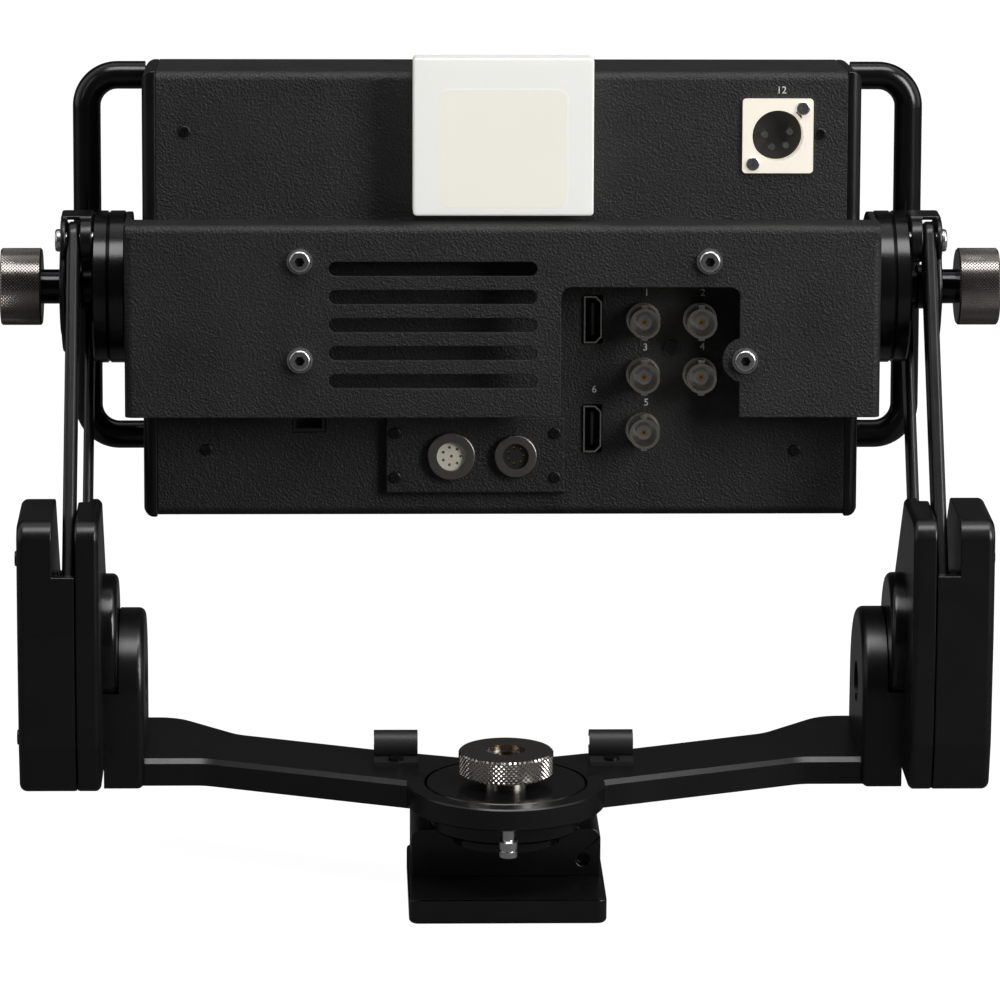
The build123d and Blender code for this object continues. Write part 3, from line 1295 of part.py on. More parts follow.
# Bracket: a bent sheet behind the case that joins it to the two friction discs
bracket_depth = TILT_Y + FLANGE_REACH - bracket_y
bracket_height = BRACKET_BOTTOM + max(BRACKET_TOP, FLANGE_REACH)
with BuildPart() as rear_bracket:
    with BuildSketch(Plane.XY.offset(TILT_Z - BRACKET_BOTTOM)) as bracket_plan:
        with Locations((0, bracket_y + bracket_depth / 2)):
            Rectangle(2 * flange_x, bracket_depth)
        fillet(bracket_plan.vertices().group_by(Axis.Y)[0], BRACKET_BEND)
    extrude(amount=bracket_height)
    with BuildSketch(Plane.XY.offset(TILT_Z - BRACKET_BOTTOM)) as bracket_inside:
        with Locations((0, bracket_y + (bracket_depth + BRACKET_THICK) / 2)):
            Rectangle(2 * (flange_x - BRACKET_THICK), bracket_depth - BRACKET_THICK)
        fillet(bracket_inside.vertices().group_by(Axis.Y)[0], BRACKET_BEND - BRACKET_THICK)
    extrude(amount=bracket_height, mode=Mode.SUBTRACT)
    with BuildSketch(side_plane(-flange_x)):
        with Locations(((bracket_y + TILT_Y) / 2, TILT_Z + (BRACKET_TOP - BRACKET_BOTTOM) / 2)):
            Rectangle(TILT_Y - bracket_y, BRACKET_TOP + BRACKET_BOTTOM)
        with Locations((TILT_Y, TILT_Z)):
            Circle(FLANGE_REACH)
    extrude(amount=2 * flange_x, mode=Mode.INTERSECT)
    # The top edge, folded towards the case, with a relief at each corner
    with BuildSketch(side_plane(-flange_x)):
        with Locations((bracket_y + (BRACKET_BEND + RELIEF) / 2, TILT_Z + BRACKET_TOP - FOLD_DROP / 2)):
            Rectangle(BRACKET_BEND + RELIEF, FOLD_DROP)
    extrude(amount=2 * flange_x, mode=Mode.SUBTRACT)
    with BuildSketch(side_plane(-flange_x + FOLD_INSET)) as fold:
        with BuildLine():
            Polyline(
                (bracket_y, TILT_Z + BRACKET_TOP - FOLD_DROP),
                (bracket_y, TILT_Z + BRACKET_TOP),
                (panel_y, TILT_Z + BRACKET_TOP),
                (panel_y, TILT_Z + BRACKET_TOP - BRACKET_THICK),
                (bracket_y + BRACKET_THICK, TILT_Z + BRACKET_TOP - BRACKET_THICK),
                (bracket_y + BRACKET_THICK, TILT_Z + BRACKET_TOP - FOLD_DROP),
                close=True,
            )
        make_face()
        fillet(fold.vertices().group_by(Axis.X)[0].sort_by(Axis.Y)[-1], BRACKET_BEND)
    extrude(amount=2 * (flange_x - FOLD_INSET))
    # Vents, cut-out round the video sockets and the holes for the screws and studs
    vent_points = [(VENT_X, VENT_TOP_Z - VENT_PITCH * row) for row in range(VENT_COUNT)]
    with BuildSketch(rear_plane(bracket_y)) as openings:
        with Locations(*vent_points):
            RectangleRounded(VENT_LENGTH, VENT_HEIGHT, VENT_CORNER)
        with Locations(*BRACKET_SCREWS):
            Circle(CAP_SHANK_R + SEAT)
    extrude(amount=-BRACKET_THICK, mode=Mode.SUBTRACT)
    with BuildSketch(rear_plane(bracket_y)) as cutout:
        with Locations(((CUTOUT_LEFT + CUTOUT_RIGHT) / 2, (CUTOUT_TOP - BRACKET_BOTTOM) / 2)):
            Rectangle(CUTOUT_RIGHT - CUTOUT_LEFT, CUTOUT_TOP + BRACKET_BOTTOM)
        fillet(cutout.vertices().group_by(Axis.Y)[-1], CUTOUT_CORNER)
        with Locations(BRACKET_SCREWS[-1]):
            Circle(TAB_R, mode=Mode.SUBTRACT)
    extrude(amount=-BRACKET_THICK, mode=Mode.SUBTRACT)
    with BuildSketch(side_plane(-flange_x)):
        with Locations((TILT_Y, TILT_Z)):
            Circle(STUD_R + SEAT)
    extrude(amount=2 * flange_x, mode=Mode.SUBTRACT)

# Spacers between the bracket and the cover, and the washers under the screw heads
with BuildPart() as bracket_spacers:
    with BuildSketch(rear_plane(panel_y)):
        with Locations(*BRACKET_SCREWS):
            Circle(SPACER_R)
            Circle(CAP_SHANK_R + SEAT, mode=Mode.SUBTRACT)
    extrude(amount=BRACKET_BACK - BRACKET_THICK - CASE_BACK)
    with BuildSketch(rear_plane(bracket_y)):
        with Locations(*BRACKET_SCREWS):
            Circle(WASHER_R)
            Circle(CAP_SHANK_R + SEAT, mode=Mode.SUBTRACT)
    extrude(amount=WASHER_THICK)

cap_plane = rear_plane(bracket_y - WASHER_THICK)
with BuildPart() as bracket_screws:
    with BuildSketch(cap_plane):
        with Locations(*BRACKET_SCREWS):
            Circle(CAP_R)
    extrude(amount=CAP_HEIGHT)
    fillet(bracket_screws.edges().filter_by(GeomType.CIRCLE).group_by(Axis.Y)[0], CAP_ROUND)
    with BuildSketch(cap_plane):
        with Locations(*BRACKET_SCREWS):
            Circle(CAP_SHANK_R)
    extrude(amount=-(WASHER_THICK + BRACKET_BACK - CASE_BACK + SHEET + COVER_NUT - PLAY))
    with BuildSketch(cap_plane.offset(CAP_HEIGHT)):
        with Locations(*BRACKET_SCREWS):
            RegularPolygon(CAP_HEX_R, 6)
    extrude(amount=-CAP_HEX_DEPTH, mode=Mode.SUBTRACT)

# Tally lamp: a milky box whose open back stands on the rear cover, and the diffuser inside it
tally_height = TALLY_TOP - TALLY_BOTTOM
with BuildPart() as tally_lens:
    with BuildSketch(rear_plane(panel_y)):
        with Locations((0, TALLY_BOTTOM + tally_height / 2)):
            RectangleRounded(2 * TALLY_HALF_WIDTH, tally_height, TALLY_ROUND)
    extrude(amount=TALLY_OUT)
    fillet(tally_lens.faces().sort_by(Axis.Y)[0].outer_wire().edges(), TALLY_ROUND / 2)
    with BuildSketch(rear_plane(panel_y)):
        with Locations((0, (TALLY_BOTTOM + TALLY_WALL + CASE_TOP - COVER_BEND) / 2)):
            Rectangle(2 * (TALLY_HALF_WIDTH - TALLY_WALL), CASE_TOP - COVER_BEND - TALLY_BOTTOM - TALLY_WALL)
    extrude(amount=TALLY_OUT - TALLY_WALL, mode=Mode.SUBTRACT)
    with BuildSketch(rear_plane(panel_y - TALLY_LIP)):
        with Locations((0, (TALLY_BOTTOM + TALLY_TOP) / 2)):
            Rectangle(2 * (TALLY_HALF_WIDTH - TALLY_WALL), tally_height - 2 * TALLY_WALL)
    extrude(amount=TALLY_OUT - TALLY_WALL - TALLY_LIP, mode=Mode.SUBTRACT)

with BuildPart() as tally_diffuser:
    with BuildSketch(rear_plane(panel_y)):
        with Locations((0, (DIFFUSER_BOTTOM + DIFFUSER_TOP) / 2)):
            RectangleRounded(2 * DIFFUSER_HALF_WIDTH, DIFFUSER_TOP - DIFFUSER_BOTTOM, DIFFUSER_ROUND)
    extrude(amount=DIFFUSER_OUT)

# Power socket: plate and shell, insert and pins
power_pin_points = [
    (
        power_x + POWER_PIN_RADIUS * math.cos(math.radians(POWER_PIN_START + POWER_PIN_STEP * count)),
        POWER_Z + POWER_PIN_RADIUS * math.sin(math.radians(POWER_PIN_START + POWER_PIN_STEP * count)),
    )
    for count in range(POWER_PIN_COUNT)
]
power_face = rear_plane(panel_y - POWER_PLATE)
with BuildPart() as power_socket:
    with BuildSketch(rear_plane(panel_y)):
        with Locations((power_x, POWER_Z)):
            RectangleRounded(POWER_WIDTH, POWER_HEIGHT, POWER_CORNER)
    extrude(amount=POWER_PLATE)
    with BuildSketch(rear_plane(panel_y)):
        with Locations((power_x, POWER_Z)):
            Circle(POWER_R + POWER_SHELL)
    extrude(amount=-POWER_DEPTH)
    with BuildSketch(power_face):
        with Locations((power_x, POWER_Z)):
            Circle(POWER_R)
    extrude(amount=-(POWER_PLATE + POWER_DEPTH), mode=Mode.SUBTRACT)
    with BuildSketch(power_face):
        with Locations((power_x + POWER_R * math.sqrt(0.5), POWER_Z + POWER_R * math.sqrt(0.5))):
            Circle(POWER_KEY_R)
    extrude(amount=-POWER_PLATE, mode=Mode.SUBTRACT)
    with BuildSketch(power_face):
        with Locations(*power_screw_points):
            Circle(CASE_SCREW_R + SEAT)
    extrude(amount=-POWER_PLATE, mode=Mode.SUBTRACT)

# Coaxial sockets: barrel with two bayonet lugs, base nut and tail, one solid each
with BuildPart() as coax_sockets:
    with BuildSketch(rear_plane(panel_y)):
        with Locations(*coax_points):
            Circle(COAX_BASE_R)
    extrude(amount=COAX_BASE_THICK)
    with BuildSketch(rear_plane(panel_y)):
        with Locations(*coax_points):
            Circle(COAX_R)
    extrude(amount=COAX_LENGTH)
    with BuildSketch(rear_plane(panel_y - COAX_LENGTH + COAX_LUG_BACK - COAX_LUG_R)):
        with Locations(*coax_points):
            Rectangle(2 * COAX_LUG_R, 2 * (COAX_R + COAX_LUG_OUT))
    extrude(amount=-2 * COAX_LUG_R)
    with BuildSketch(rear_plane(panel_y)):
        with Locations(*coax_points):
            Circle(COAX_TAIL_R)
    extrude(amount=-(SHEET + COAX_TAIL))
    with BuildSketch(rear_plane(panel_y - COAX_LENGTH)):
        with Locations(*coax_points):
            Circle(COAX_BORE_R)
    extrude(amount=-COAX_BORE_DEPTH, mode=Mode.SUBTRACT)
    with BuildSketch(rear_plane(panel_y - COAX_LENGTH)):
        with Locations(*coax_points):
            Circle(COAX_CORE_R + SEAT)
    extrude(amount=-(COAX_LENGTH + SHEET + COAX_TAIL), mode=Mode.SUBTRACT)

coax_core_y = panel_y - COAX_LENGTH + COAX_BORE_DEPTH - COAX_CORE_LENGTH
with BuildPart() as coax_cores:
    with BuildSketch(rear_plane(coax_core_y)):
        with Locations(*coax_points):
            Circle(COAX_CORE_R)
            Circle(COAX_PIN_R + SEAT, mode=Mode.SUBTRACT)
    extrude(amount=-(panel_y + SHEET + COAX_TAIL - coax_core_y))

# Digital sockets: thin shells with a tongue, two corners cut
with BuildPart() as digital_sockets:
    with BuildSketch(rear_plane(panel_y - DIGITAL_OUT)) as digital_outline:
        with Locations(*digital_points):
            Rectangle(DIGITAL_WIDTH, DIGITAL_HEIGHT)
        chamfer(digital_outline.vertices().group_by(Axis.X)[-1], DIGITAL_CORNER)
    extrude(amount=-(DIGITAL_OUT + DIGITAL_DEPTH))
    with BuildSketch(rear_plane(panel_y - DIGITAL_OUT)) as digital_mouth:
        with Locations(*digital_points):
            Rectangle(DIGITAL_WIDTH - 2 * DIGITAL_SHELL, DIGITAL_HEIGHT - 2 * DIGITAL_SHELL)
        chamfer(digital_mouth.vertices().group_by(Axis.X)[-1], DIGITAL_CORNER - DIGITAL_SHELL / 2)
    extrude(amount=-(DIGITAL_OUT + DIGITAL_DEPTH - SHEET), mode=Mode.SUBTRACT)
    with BuildSketch(rear_plane(panel_y - DIGITAL_OUT + DIGITAL_TONGUE_SHY)):
        with Locations(*digital_points):
            Rectangle(DIGITAL_TONGUE, DIGITAL_TONGUE_SPAN)
    extrude(amount=-(DIGITAL_OUT + DIGITAL_DEPTH - SHEET - DIGITAL_TONGUE_SHY))

# Sub panel and its two round sockets
with BuildPart() as sub_panel:
    with BuildSketch(rear_plane(panel_y)):
        with Locations((sub_x, sub_z)):
            Rectangle(SUB_RIGHT - SUB_LEFT, SUB_TOP - SUB_BOTTOM)
    extrude(amount=SUB_THICK)
    chamfer(sub_panel.faces().sort_by(Axis.Y)[0].outer_wire().edges(), SUB_EDGE)
    with BuildSketch(rear_plane(panel_y)):
        with Locations((ROUND_A_X, ROUND_Z)):
            Circle(ROUND_A_INSERT_R + ROUND_WALL + SEAT)
        with Locations((ROUND_B_X, ROUND_Z)):
            Circle(ROUND_B_INSERT_R + ROUND_WALL + SEAT)
        with Locations(*sub_screw_points):
            Circle(CASE_SCREW_R + SEAT)
    extrude(amount=SUB_THICK, mode=Mode.SUBTRACT)

sub_face = rear_plane(panel_y - SUB_THICK)
round_tail = SUB_THICK + SHEET + ROUND_TAIL
round_a = (ROUND_A_X, ROUND_A_R, ROUND_A_INSERT_R)
round_b = (ROUND_B_X, ROUND_B_R, ROUND_B_INSERT_R)
with BuildPart() as round_sockets:
    for x, nut_r, insert_r in (round_a, round_b):
        with BuildSketch(sub_face):
            with Locations((x, ROUND_Z)):
                Circle(nut_r)
        extrude(amount=ROUND_NUT)
        with BuildSketch(sub_face):
            with Locations((x, ROUND_Z)):
                Circle(insert_r + ROUND_WALL)
        extrude(amount=-round_tail)
        with BuildSketch(sub_face.offset(ROUND_NUT)):
            with Locations((x, ROUND_Z)):
                Circle(insert_r + SEAT)
        extrude(amount=-(ROUND_NUT + round_tail), mode=Mode.SUBTRACT)
    rims = round_sockets.edges().filter_by(GeomType.CIRCLE).filter_by(lambda e: e.radius > ROUND_B_R - NEAR)
    fillet(rims.group_by(Axis.Y)[0], SUB_EDGE)

round_points = [(ROUND_A_X, ROUND_Z)]
for x, nut_r, insert_r in (round_a, round_b):
    for count in range(ROUND_PIN_COUNT):
        angle = 2 * math.pi * count / ROUND_PIN_COUNT
        reach = insert_r * ROUND_PIN_RADIUS_SHARE
        round_points.append((x + reach * math.cos(angle), ROUND_Z + reach * math.sin(angle)))
round_insert_face = sub_face.offset(ROUND_NUT - ROUND_SINK)
round_insert_length = ROUND_NUT - ROUND_SINK + round_tail

# Insulating inserts of the power socket and the round sockets
with BuildPart() as socket_inserts:
    with BuildSketch(rear_plane(panel_y + POWER_DEPTH)):
        with Locations((power_x, POWER_Z)):
            Circle(POWER_R - SEAT)
        with Locations(*power_pin_points):
            Circle(POWER_PIN_R + SEAT, mode=Mode.SUBTRACT)
    extrude(amount=POWER_FLOOR)
    with BuildSketch(round_insert_face):
        with Locations((ROUND_A_X, ROUND_Z)):
            Circle(ROUND_A_INSERT_R)
        with Locations((ROUND_B_X, ROUND_Z)):
            Circle(ROUND_B_INSERT_R)
        with Locations(*round_points):
            Circle(ROUND_PIN_R + SEAT, mode=Mode.SUBTRACT)
    extrude(amount=-round_insert_length)

# Gold contacts of all the sockets, those of the round sockets set back in their holes
with BuildPart() as contact_pins:
    with BuildSketch(rear_plane(panel_y + POWER_DEPTH + POWER_FLOOR)):
        with Locations(*power_pin_points):
            Circle(POWER_PIN_R)
    extrude(amount=2 * POWER_FLOOR + POWER_PIN_LENGTH)
    with BuildSketch(rear_plane(coax_core_y + COAX_PIN_LENGTH)):
        with Locations(*coax_points):
            Circle(COAX_PIN_R)
    extrude(amount=COAX_PIN_LENGTH)
    with BuildSketch(rear_plane(coax_core_y)):
        with Locations(*coax_points):
            Circle(COAX_PIN_HOLE_R)
    extrude(amount=-COAX_PIN_LENGTH / 2, mode=Mode.SUBTRACT)
    with BuildSketch(round_insert_face.offset(-ROUND_PIN_SHY)):
        with Locations(*round_points):
            Circle(ROUND_PIN_R)
    extrude(amount=-(round_insert_length - ROUND_PIN_SHY))

# Service socket: an open box let into the rear cover
with BuildPart() as service_socket:
    with BuildSketch(rear_plane(panel_y)):
        with Locations((SERVICE_X, SERVICE_Z)):
            Rectangle(SERVICE_WIDTH, SERVICE_HEIGHT)
    extrude(amount=-SERVICE_DEPTH)
    with BuildSketch(rear_plane(panel_y)):
        with Locations((SERVICE_X, SERVICE_Z)):
            Rectangle(SERVICE_WIDTH - 2 * SERVICE_WALL, SERVICE_HEIGHT - 2 * SERVICE_WALL)
    extrude(amount=-(SERVICE_DEPTH - SERVICE_WALL), mode=Mode.SUBTRACT)


def cross_screws(points, head_r, clamped=0.0):
    """Screws with cross recesses, through the rear cover and what they clamp on it."""
    face = rear_plane(panel_y - clamped)
    with BuildPart() as screws:
        with BuildSketch(face):
            with Locations(*points):
                Circle(head_r)
        extrude(amount=CASE_HEAD_HEIGHT)
        fillet(screws.edges().filter_by(GeomType.CIRCLE).group_by(Axis.Y)[0], CASE_HEAD_HEIGHT / 2)
        with BuildSketch(face):
            with Locations(*points):
                Circle(CASE_SCREW_R)
        extrude(amount=-(clamped + SHEET + CASE_SCREW_GRIP))
        with BuildSketch(face.offset(CASE_HEAD_HEIGHT)):
            with Locations(*points):
                Rectangle(head_r * CROSS_SHARE, CROSS_WIDTH)
                Rectangle(CROSS_WIDTH, head_r * CROSS_SHARE)
        extrude(amount=-CROSS_DEPTH, mode=Mode.SUBTRACT)
    return screws.part


with BuildPart() as case_screws:
    add(cross_screws(screw_points, CASE_HEAD_R))
    add(cross_screws([CENTRE_SCREW], CENTRE_HEAD_R))
    add(cross_screws(sub_screw_points, CASE_HEAD_R, SUB_THICK))
    add(cross_screws(power_screw_points, POWER_SCREW_HEAD_R, POWER_PLATE))

keep_leaned("rear_cover", rear_cover.part)
keep_leaned("end_plate_right", end_plate(1))
keep_leaned("end_plate_left", end_plate(-1))
keep_leaned("handle_right", handle_right.part)
keep_leaned("handle_left", handle_right.part.mirror(Plane.YZ))
keep_leaned("front_bezel", front_bezel.part)
keep_leaned("lcd_panel", lcd_panel.part)
keep_leaned("front_glass", front_glass.part)
keep_leaned("main_board", main_board.part)
keep_leaned("control_board", control_board.part)
for count, place in enumerate(dial_places, start=1):
    keep_leaned(f"dial_{count}", dial(place))
for count, place in enumerate(BUTTON_X, start=1):
    keep_leaned(f"button_{count}", button(place))
keep_leaned("rear_bracket", rear_bracket.part)
keep_leaned("bracket_spacers", bracket_spacers.part)
keep_leaned("bracket_screws", bracket_screws.part)
keep_leaned("tally_lens", tally_lens.part)
keep_leaned("tally_diffuser", tally_diffuser.part)
keep_leaned("power_socket", power_socket.part)
keep_leaned("coax_sockets", coax_sockets.part)
keep_leaned("coax_cores", coax_cores.part)
keep_leaned("digital_sockets", digital_sockets.part)
keep_leaned("sub_panel", sub_panel.part)
keep_leaned("round_sockets", round_sockets.part)
keep_leaned("socket_inserts", socket_inserts.part)
keep_leaned("contact_pins", contact_pins.part)
keep_leaned("service_socket", service_socket.part)
keep_leaned("case_screws", case_screws.part)
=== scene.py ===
"""Looks of a studio camera viewfinder: its finishes, softened edges, knurled knobs, tally window,
plain numbers beside the sockets, and a pale studio around it.

Every length is in metres, in the frame of the part: +X to the right seen from the connector side,
+Y towards the operator, +Z up, origin on the pan axis at the underside of the shoe.
"""

import json
import math

import bmesh
import bpy
from bpy.props import FloatProperty, FloatVectorProperty, PointerProperty
from mathutils import Matrix, Quaternion, Vector


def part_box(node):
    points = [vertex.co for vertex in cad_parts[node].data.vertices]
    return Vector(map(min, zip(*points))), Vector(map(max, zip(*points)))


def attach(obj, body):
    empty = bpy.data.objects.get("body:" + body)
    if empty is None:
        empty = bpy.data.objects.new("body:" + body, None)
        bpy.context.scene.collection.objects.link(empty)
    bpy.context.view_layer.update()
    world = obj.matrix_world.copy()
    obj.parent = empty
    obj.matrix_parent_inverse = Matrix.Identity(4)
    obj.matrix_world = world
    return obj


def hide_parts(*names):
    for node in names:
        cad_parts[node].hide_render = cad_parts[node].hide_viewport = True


bl_info = {
    "name": "Studio Viewfinder Looks",
    "version": (1, 0, 0),
    "blender": (4, 5, 0),
    "location": "View3D > Sidebar > Viewfinder",
    "description": "Finishes and fine details of a studio camera viewfinder",
    "category": "Object",
}

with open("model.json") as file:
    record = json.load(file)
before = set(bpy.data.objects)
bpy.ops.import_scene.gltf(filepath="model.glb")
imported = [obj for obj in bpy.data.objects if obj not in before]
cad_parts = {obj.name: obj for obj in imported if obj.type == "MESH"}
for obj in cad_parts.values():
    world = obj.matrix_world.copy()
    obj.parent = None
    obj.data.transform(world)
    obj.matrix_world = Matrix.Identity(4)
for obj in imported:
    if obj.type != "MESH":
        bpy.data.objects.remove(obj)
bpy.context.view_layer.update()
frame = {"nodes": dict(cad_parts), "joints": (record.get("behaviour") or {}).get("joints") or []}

MM = 0.001
joints = {joint["name"]: joint for joint in frame["joints"]}
TILT_AXIS = Vector(joints["tilt"]["pos_m"])
PRESS_AXIS = Vector(joints["button_one_press"]["axis"])
DISPLAY_LEAN = math.atan2(PRESS_AXIS.z, -PRESS_AXIS.y)
BACKWARDS = Vector((0.0, -math.cos(DISPLAY_LEAN), math.sin(DISPLAY_LEAN)))
UPWARDS = Vector((0.0, math.sin(DISPLAY_LEAN), math.cos(DISPLAY_LEAN)))
SIDEWAYS = Vector((1.0, 0.0, 0.0))

ROUND_SPLIT_X = -6.0  # between the two round sockets, in millimetres
BRACKET_SCREWS = ((-64.1, 11.7), (-64.1, -19.6), (64.9, 11.7), (76.4, -19.8))  # across, up
HEX_REACH = 1.9  # corners of a bracket screw's hexagon, in millimetres
RIM_DEPTH = 0.3  # how deep the bright metal rim reaches into a socket before the painted shade starts, in millimetres

# Grain of the finishes: repeats of a texture in one metre
POWDER_CLOUD = 55.0
POWDER_FINE = 2400.0
ANODISED_CLOUD = 90.0
ANODISED_BLAST = 2600.0
TOOL_RINGS = 420.0
TOOL_MARKS = 900.0
METAL_CLOUD = 120.0
PLASTIC_SKIN = 1600.0
PLASTIC_CLOUD = 60.0
OPAL_CLOUD = 30.0
PICTURE_POINTS = 4000.0
PANE_ETCH = 5000.0
BOARD_TRACKS = 180.0
PRINT_WEAR = 1500.0
PLATE_CLOUD = 140.0
PAPER_FIBRES = 300.0

# Height of their bumps
POWDER_BUMP = 0.24 * MM
BLAST_BUMP = 0.03 * MM
RING_BUMP = 0.02 * MM
MARK_BUMP = 0.01 * MM
SKIN_BUMP = 0.02 * MM

# Colours of the smaller pieces
STEEL = (0.72, 0.72, 0.72)
BLACK_STEEL = (0.05, 0.05, 0.052)
GLOSS_BLACK = (0.035, 0.035, 0.037)
PALE_NICKEL = (0.52, 0.49, 0.45)
TURNED_NUT = (0.40, 0.38, 0.36)
BLACK_PLASTIC = (0.012, 0.012, 0.012)
CREAM_PLASTIC = (0.72, 0.68, 0.58)
GREY_PLASTIC = (0.10, 0.10, 0.105)
# Painted shade laid inside socket mouths and screw hexagons
PAINTED_RECESS_SHADE = (0.004, 0.004, 0.004)
WHITE = (1.0, 1.0, 1.0, 1.0)

# Softened edges
WELD_REACH = 0.5e-6
FLAT_ANGLE = math.radians(0.5)
EDGE_ANGLE = math.radians(32)
EDGE_SEGMENTS = 2

# Turned knobs: shares of the radius at the dished end, and the least angle of a sharp edge
DISH_RIM = 0.62
DISH_FLOOR = 0.58
DISH_MIDDLE = 0.2
SHARP_ANGLE = math.radians(20.0)
STEPS_PER_DIAMOND = 4

# Plain numbers: text, and its middle on the display in millimetres (across, up)
NUMBERS = (
    ("1", 46.1, -0.3), ("2", 64.0, -0.4), ("3", 45.8, -17.9), ("4", 64.0, -17.7), ("5", 46.2, -35.6),
    ("6", 29.6, -31.4), ("12", 88.4, 64.1),
)
CASE_BACK = 14.0  # rear face of the case behind the tilt axis, in millimetres
LINE_SHARE = 1.4  # height of a line of type as a multiple of its digits

# Warm square of the tally lamp, on the display in millimetres
TALLY_HALF_WIDTH = 20.2
TALLY_LOW = 28.2
TALLY_HIGH = 65.6
TALLY_CORNER = 3.2
TALLY_RIM = 0.5
TALLY_SLOPE = 0.2
CORNER_STEPS = 8

# Camera, in millimetres
CAMERA_PLACE = (-54.9, -1721.0, 540.7)
CAMERA_YAW = math.radians(1.75)
CAMERA_PITCH = math.radians(13.5)
CAMERA_ROLL = math.radians(0.33)
NEAR_LIMIT = 0.05  # in metres, as the far one
FAR_LIMIT = 20.0

# Soft boxes: name, place in metres, width and height in metres, power in watts
SOFT_BOXES = (
    ("key_box", (1.05, -0.8, 0.75), (0.5, 0.9), 15.0),
    ("fill_box", (-1.2, -1.0, 0.9), (0.3, 0.9), 1.0),
    ("top_box", (0.1, -0.3, 1.4), (1.2, 0.5), 12.0),
)
LIGHT_AIM = (0.0, 0.05, 0.13)

# Surroundings: strength on the connector side and behind the object, how far the sides count
# as behind it, and between which directions the light rises
DIM_SIDE = 0.03
BRIGHT_SIDE = 0.95
SIDE_SHARE = 0.4
DIM_BELOW = -0.3
BRIGHT_ABOVE = 0.6

# Floor, in metres
FLOOR_HALF_WIDTH = 4.0
FLOOR_FRONT = -4.0
FLOOR_BACK = 2.0
FLOOR_RISE = 3.5
SWEEP_RADIUS = 1.2
SWEEP_STEPS = 12
FLOOR_GLOW = 0.98

# Finish of each piece that the frame carries over
POWDER_PIECES = ("rear_cover", "rear_bracket", "sub_panel", "front_bezel")
ANODISED_PIECES = (
    "shoe_plate", "shoe_block", "crossbar", "housing_outer_left", "housing_outer_right",
    "housing_inner_left", "housing_inner_right", "rear_links", "front_links", "head_left",
    "head_right", "end_plate_left", "end_plate_right",
)
TURNED_BLACK_PIECES = (
    "pan_post", "clamp_plate", "pivot_discs", "head_covers", "outer_friction_discs",
    "inner_friction_discs", "handle_left", "handle_right",
)
BLACK_STEEL_PIECES = ("shoe_screws", "lug_bolts", "case_screws", "turret_screws", "tilt_studs")
BRIGHT_STEEL_PIECES = ("stop_pin", "lower_pivot_pins", "upper_pivot_pins", "bracket_screws",
                       "bracket_spacers")
NICKEL_PIECES = ("digital_sockets", "coax_sockets")
BLACK_PLASTIC_PIECES = ("cable_clips", "socket_inserts", "service_socket", "button_1", "button_2",
                        "button_3")


class FinishColours(bpy.types.PropertyGroup):
    """Colours and grain of the finishes."""

    powder: FloatVectorProperty(
        name="Powder coat", description="Colour of the textured black coat on the sheet metal",
        default=(0.0085, 0.0085, 0.0085), subtype="COLOR", min=0.0, max=1.0)
    anodised: FloatVectorProperty(
        name="Anodised", description="Colour of the satin black machined pieces",
        default=(0.0035, 0.0035, 0.0038), subtype="COLOR", min=0.0, max=1.0)
    nickel: FloatVectorProperty(
        name="Nickel", description="Colour of the plated sockets",
        default=(0.78, 0.74, 0.67), subtype="COLOR", min=0.0, max=1.0)
    dark_nickel: FloatVectorProperty(
        name="Dark nickel", description="Colour of the tilt knobs",
        default=(0.30, 0.275, 0.255), subtype="COLOR", min=0.0, max=1.0)
    gold: FloatVectorProperty(
        name="Gold", description="Colour of the contacts",
        default=(0.90, 0.62, 0.22), subtype="COLOR", min=0.0, max=1.0)
    milky: FloatVectorProperty(
        name="Milky plastic", description="Colour of the tally lamp's box",
        default=(0.80, 0.80, 0.77), subtype="COLOR", min=0.0, max=1.0)
    warm: FloatVectorProperty(
        name="Warm diffuser", description="Colour of the square inside the tally lamp",
        default=(0.80, 0.775, 0.70), subtype="COLOR", min=0.0, max=1.0)
    grain: FloatProperty(
        name="Powder grain", description="Size of one grain of the powder coat",
        default=0.7 * MM, unit="LENGTH", min=0.1 * MM, max=3.0 * MM, precision=5)


class EdgeSizes(bpy.types.PropertyGroup):
    """Rounding of the edges that the machining leaves."""

    machined: FloatProperty(
        name="Machined edge", description="Width of the softened edge on machined pieces",
        default=0.45 * MM, unit="LENGTH", min=0.05 * MM, max=1.0 * MM, precision=5)
    sheet: FloatProperty(
        name="Sheet edge", description="Width of the softened edge on sheet metal",
        default=0.25 * MM, unit="LENGTH", min=0.05 * MM, max=0.6 * MM, precision=5)


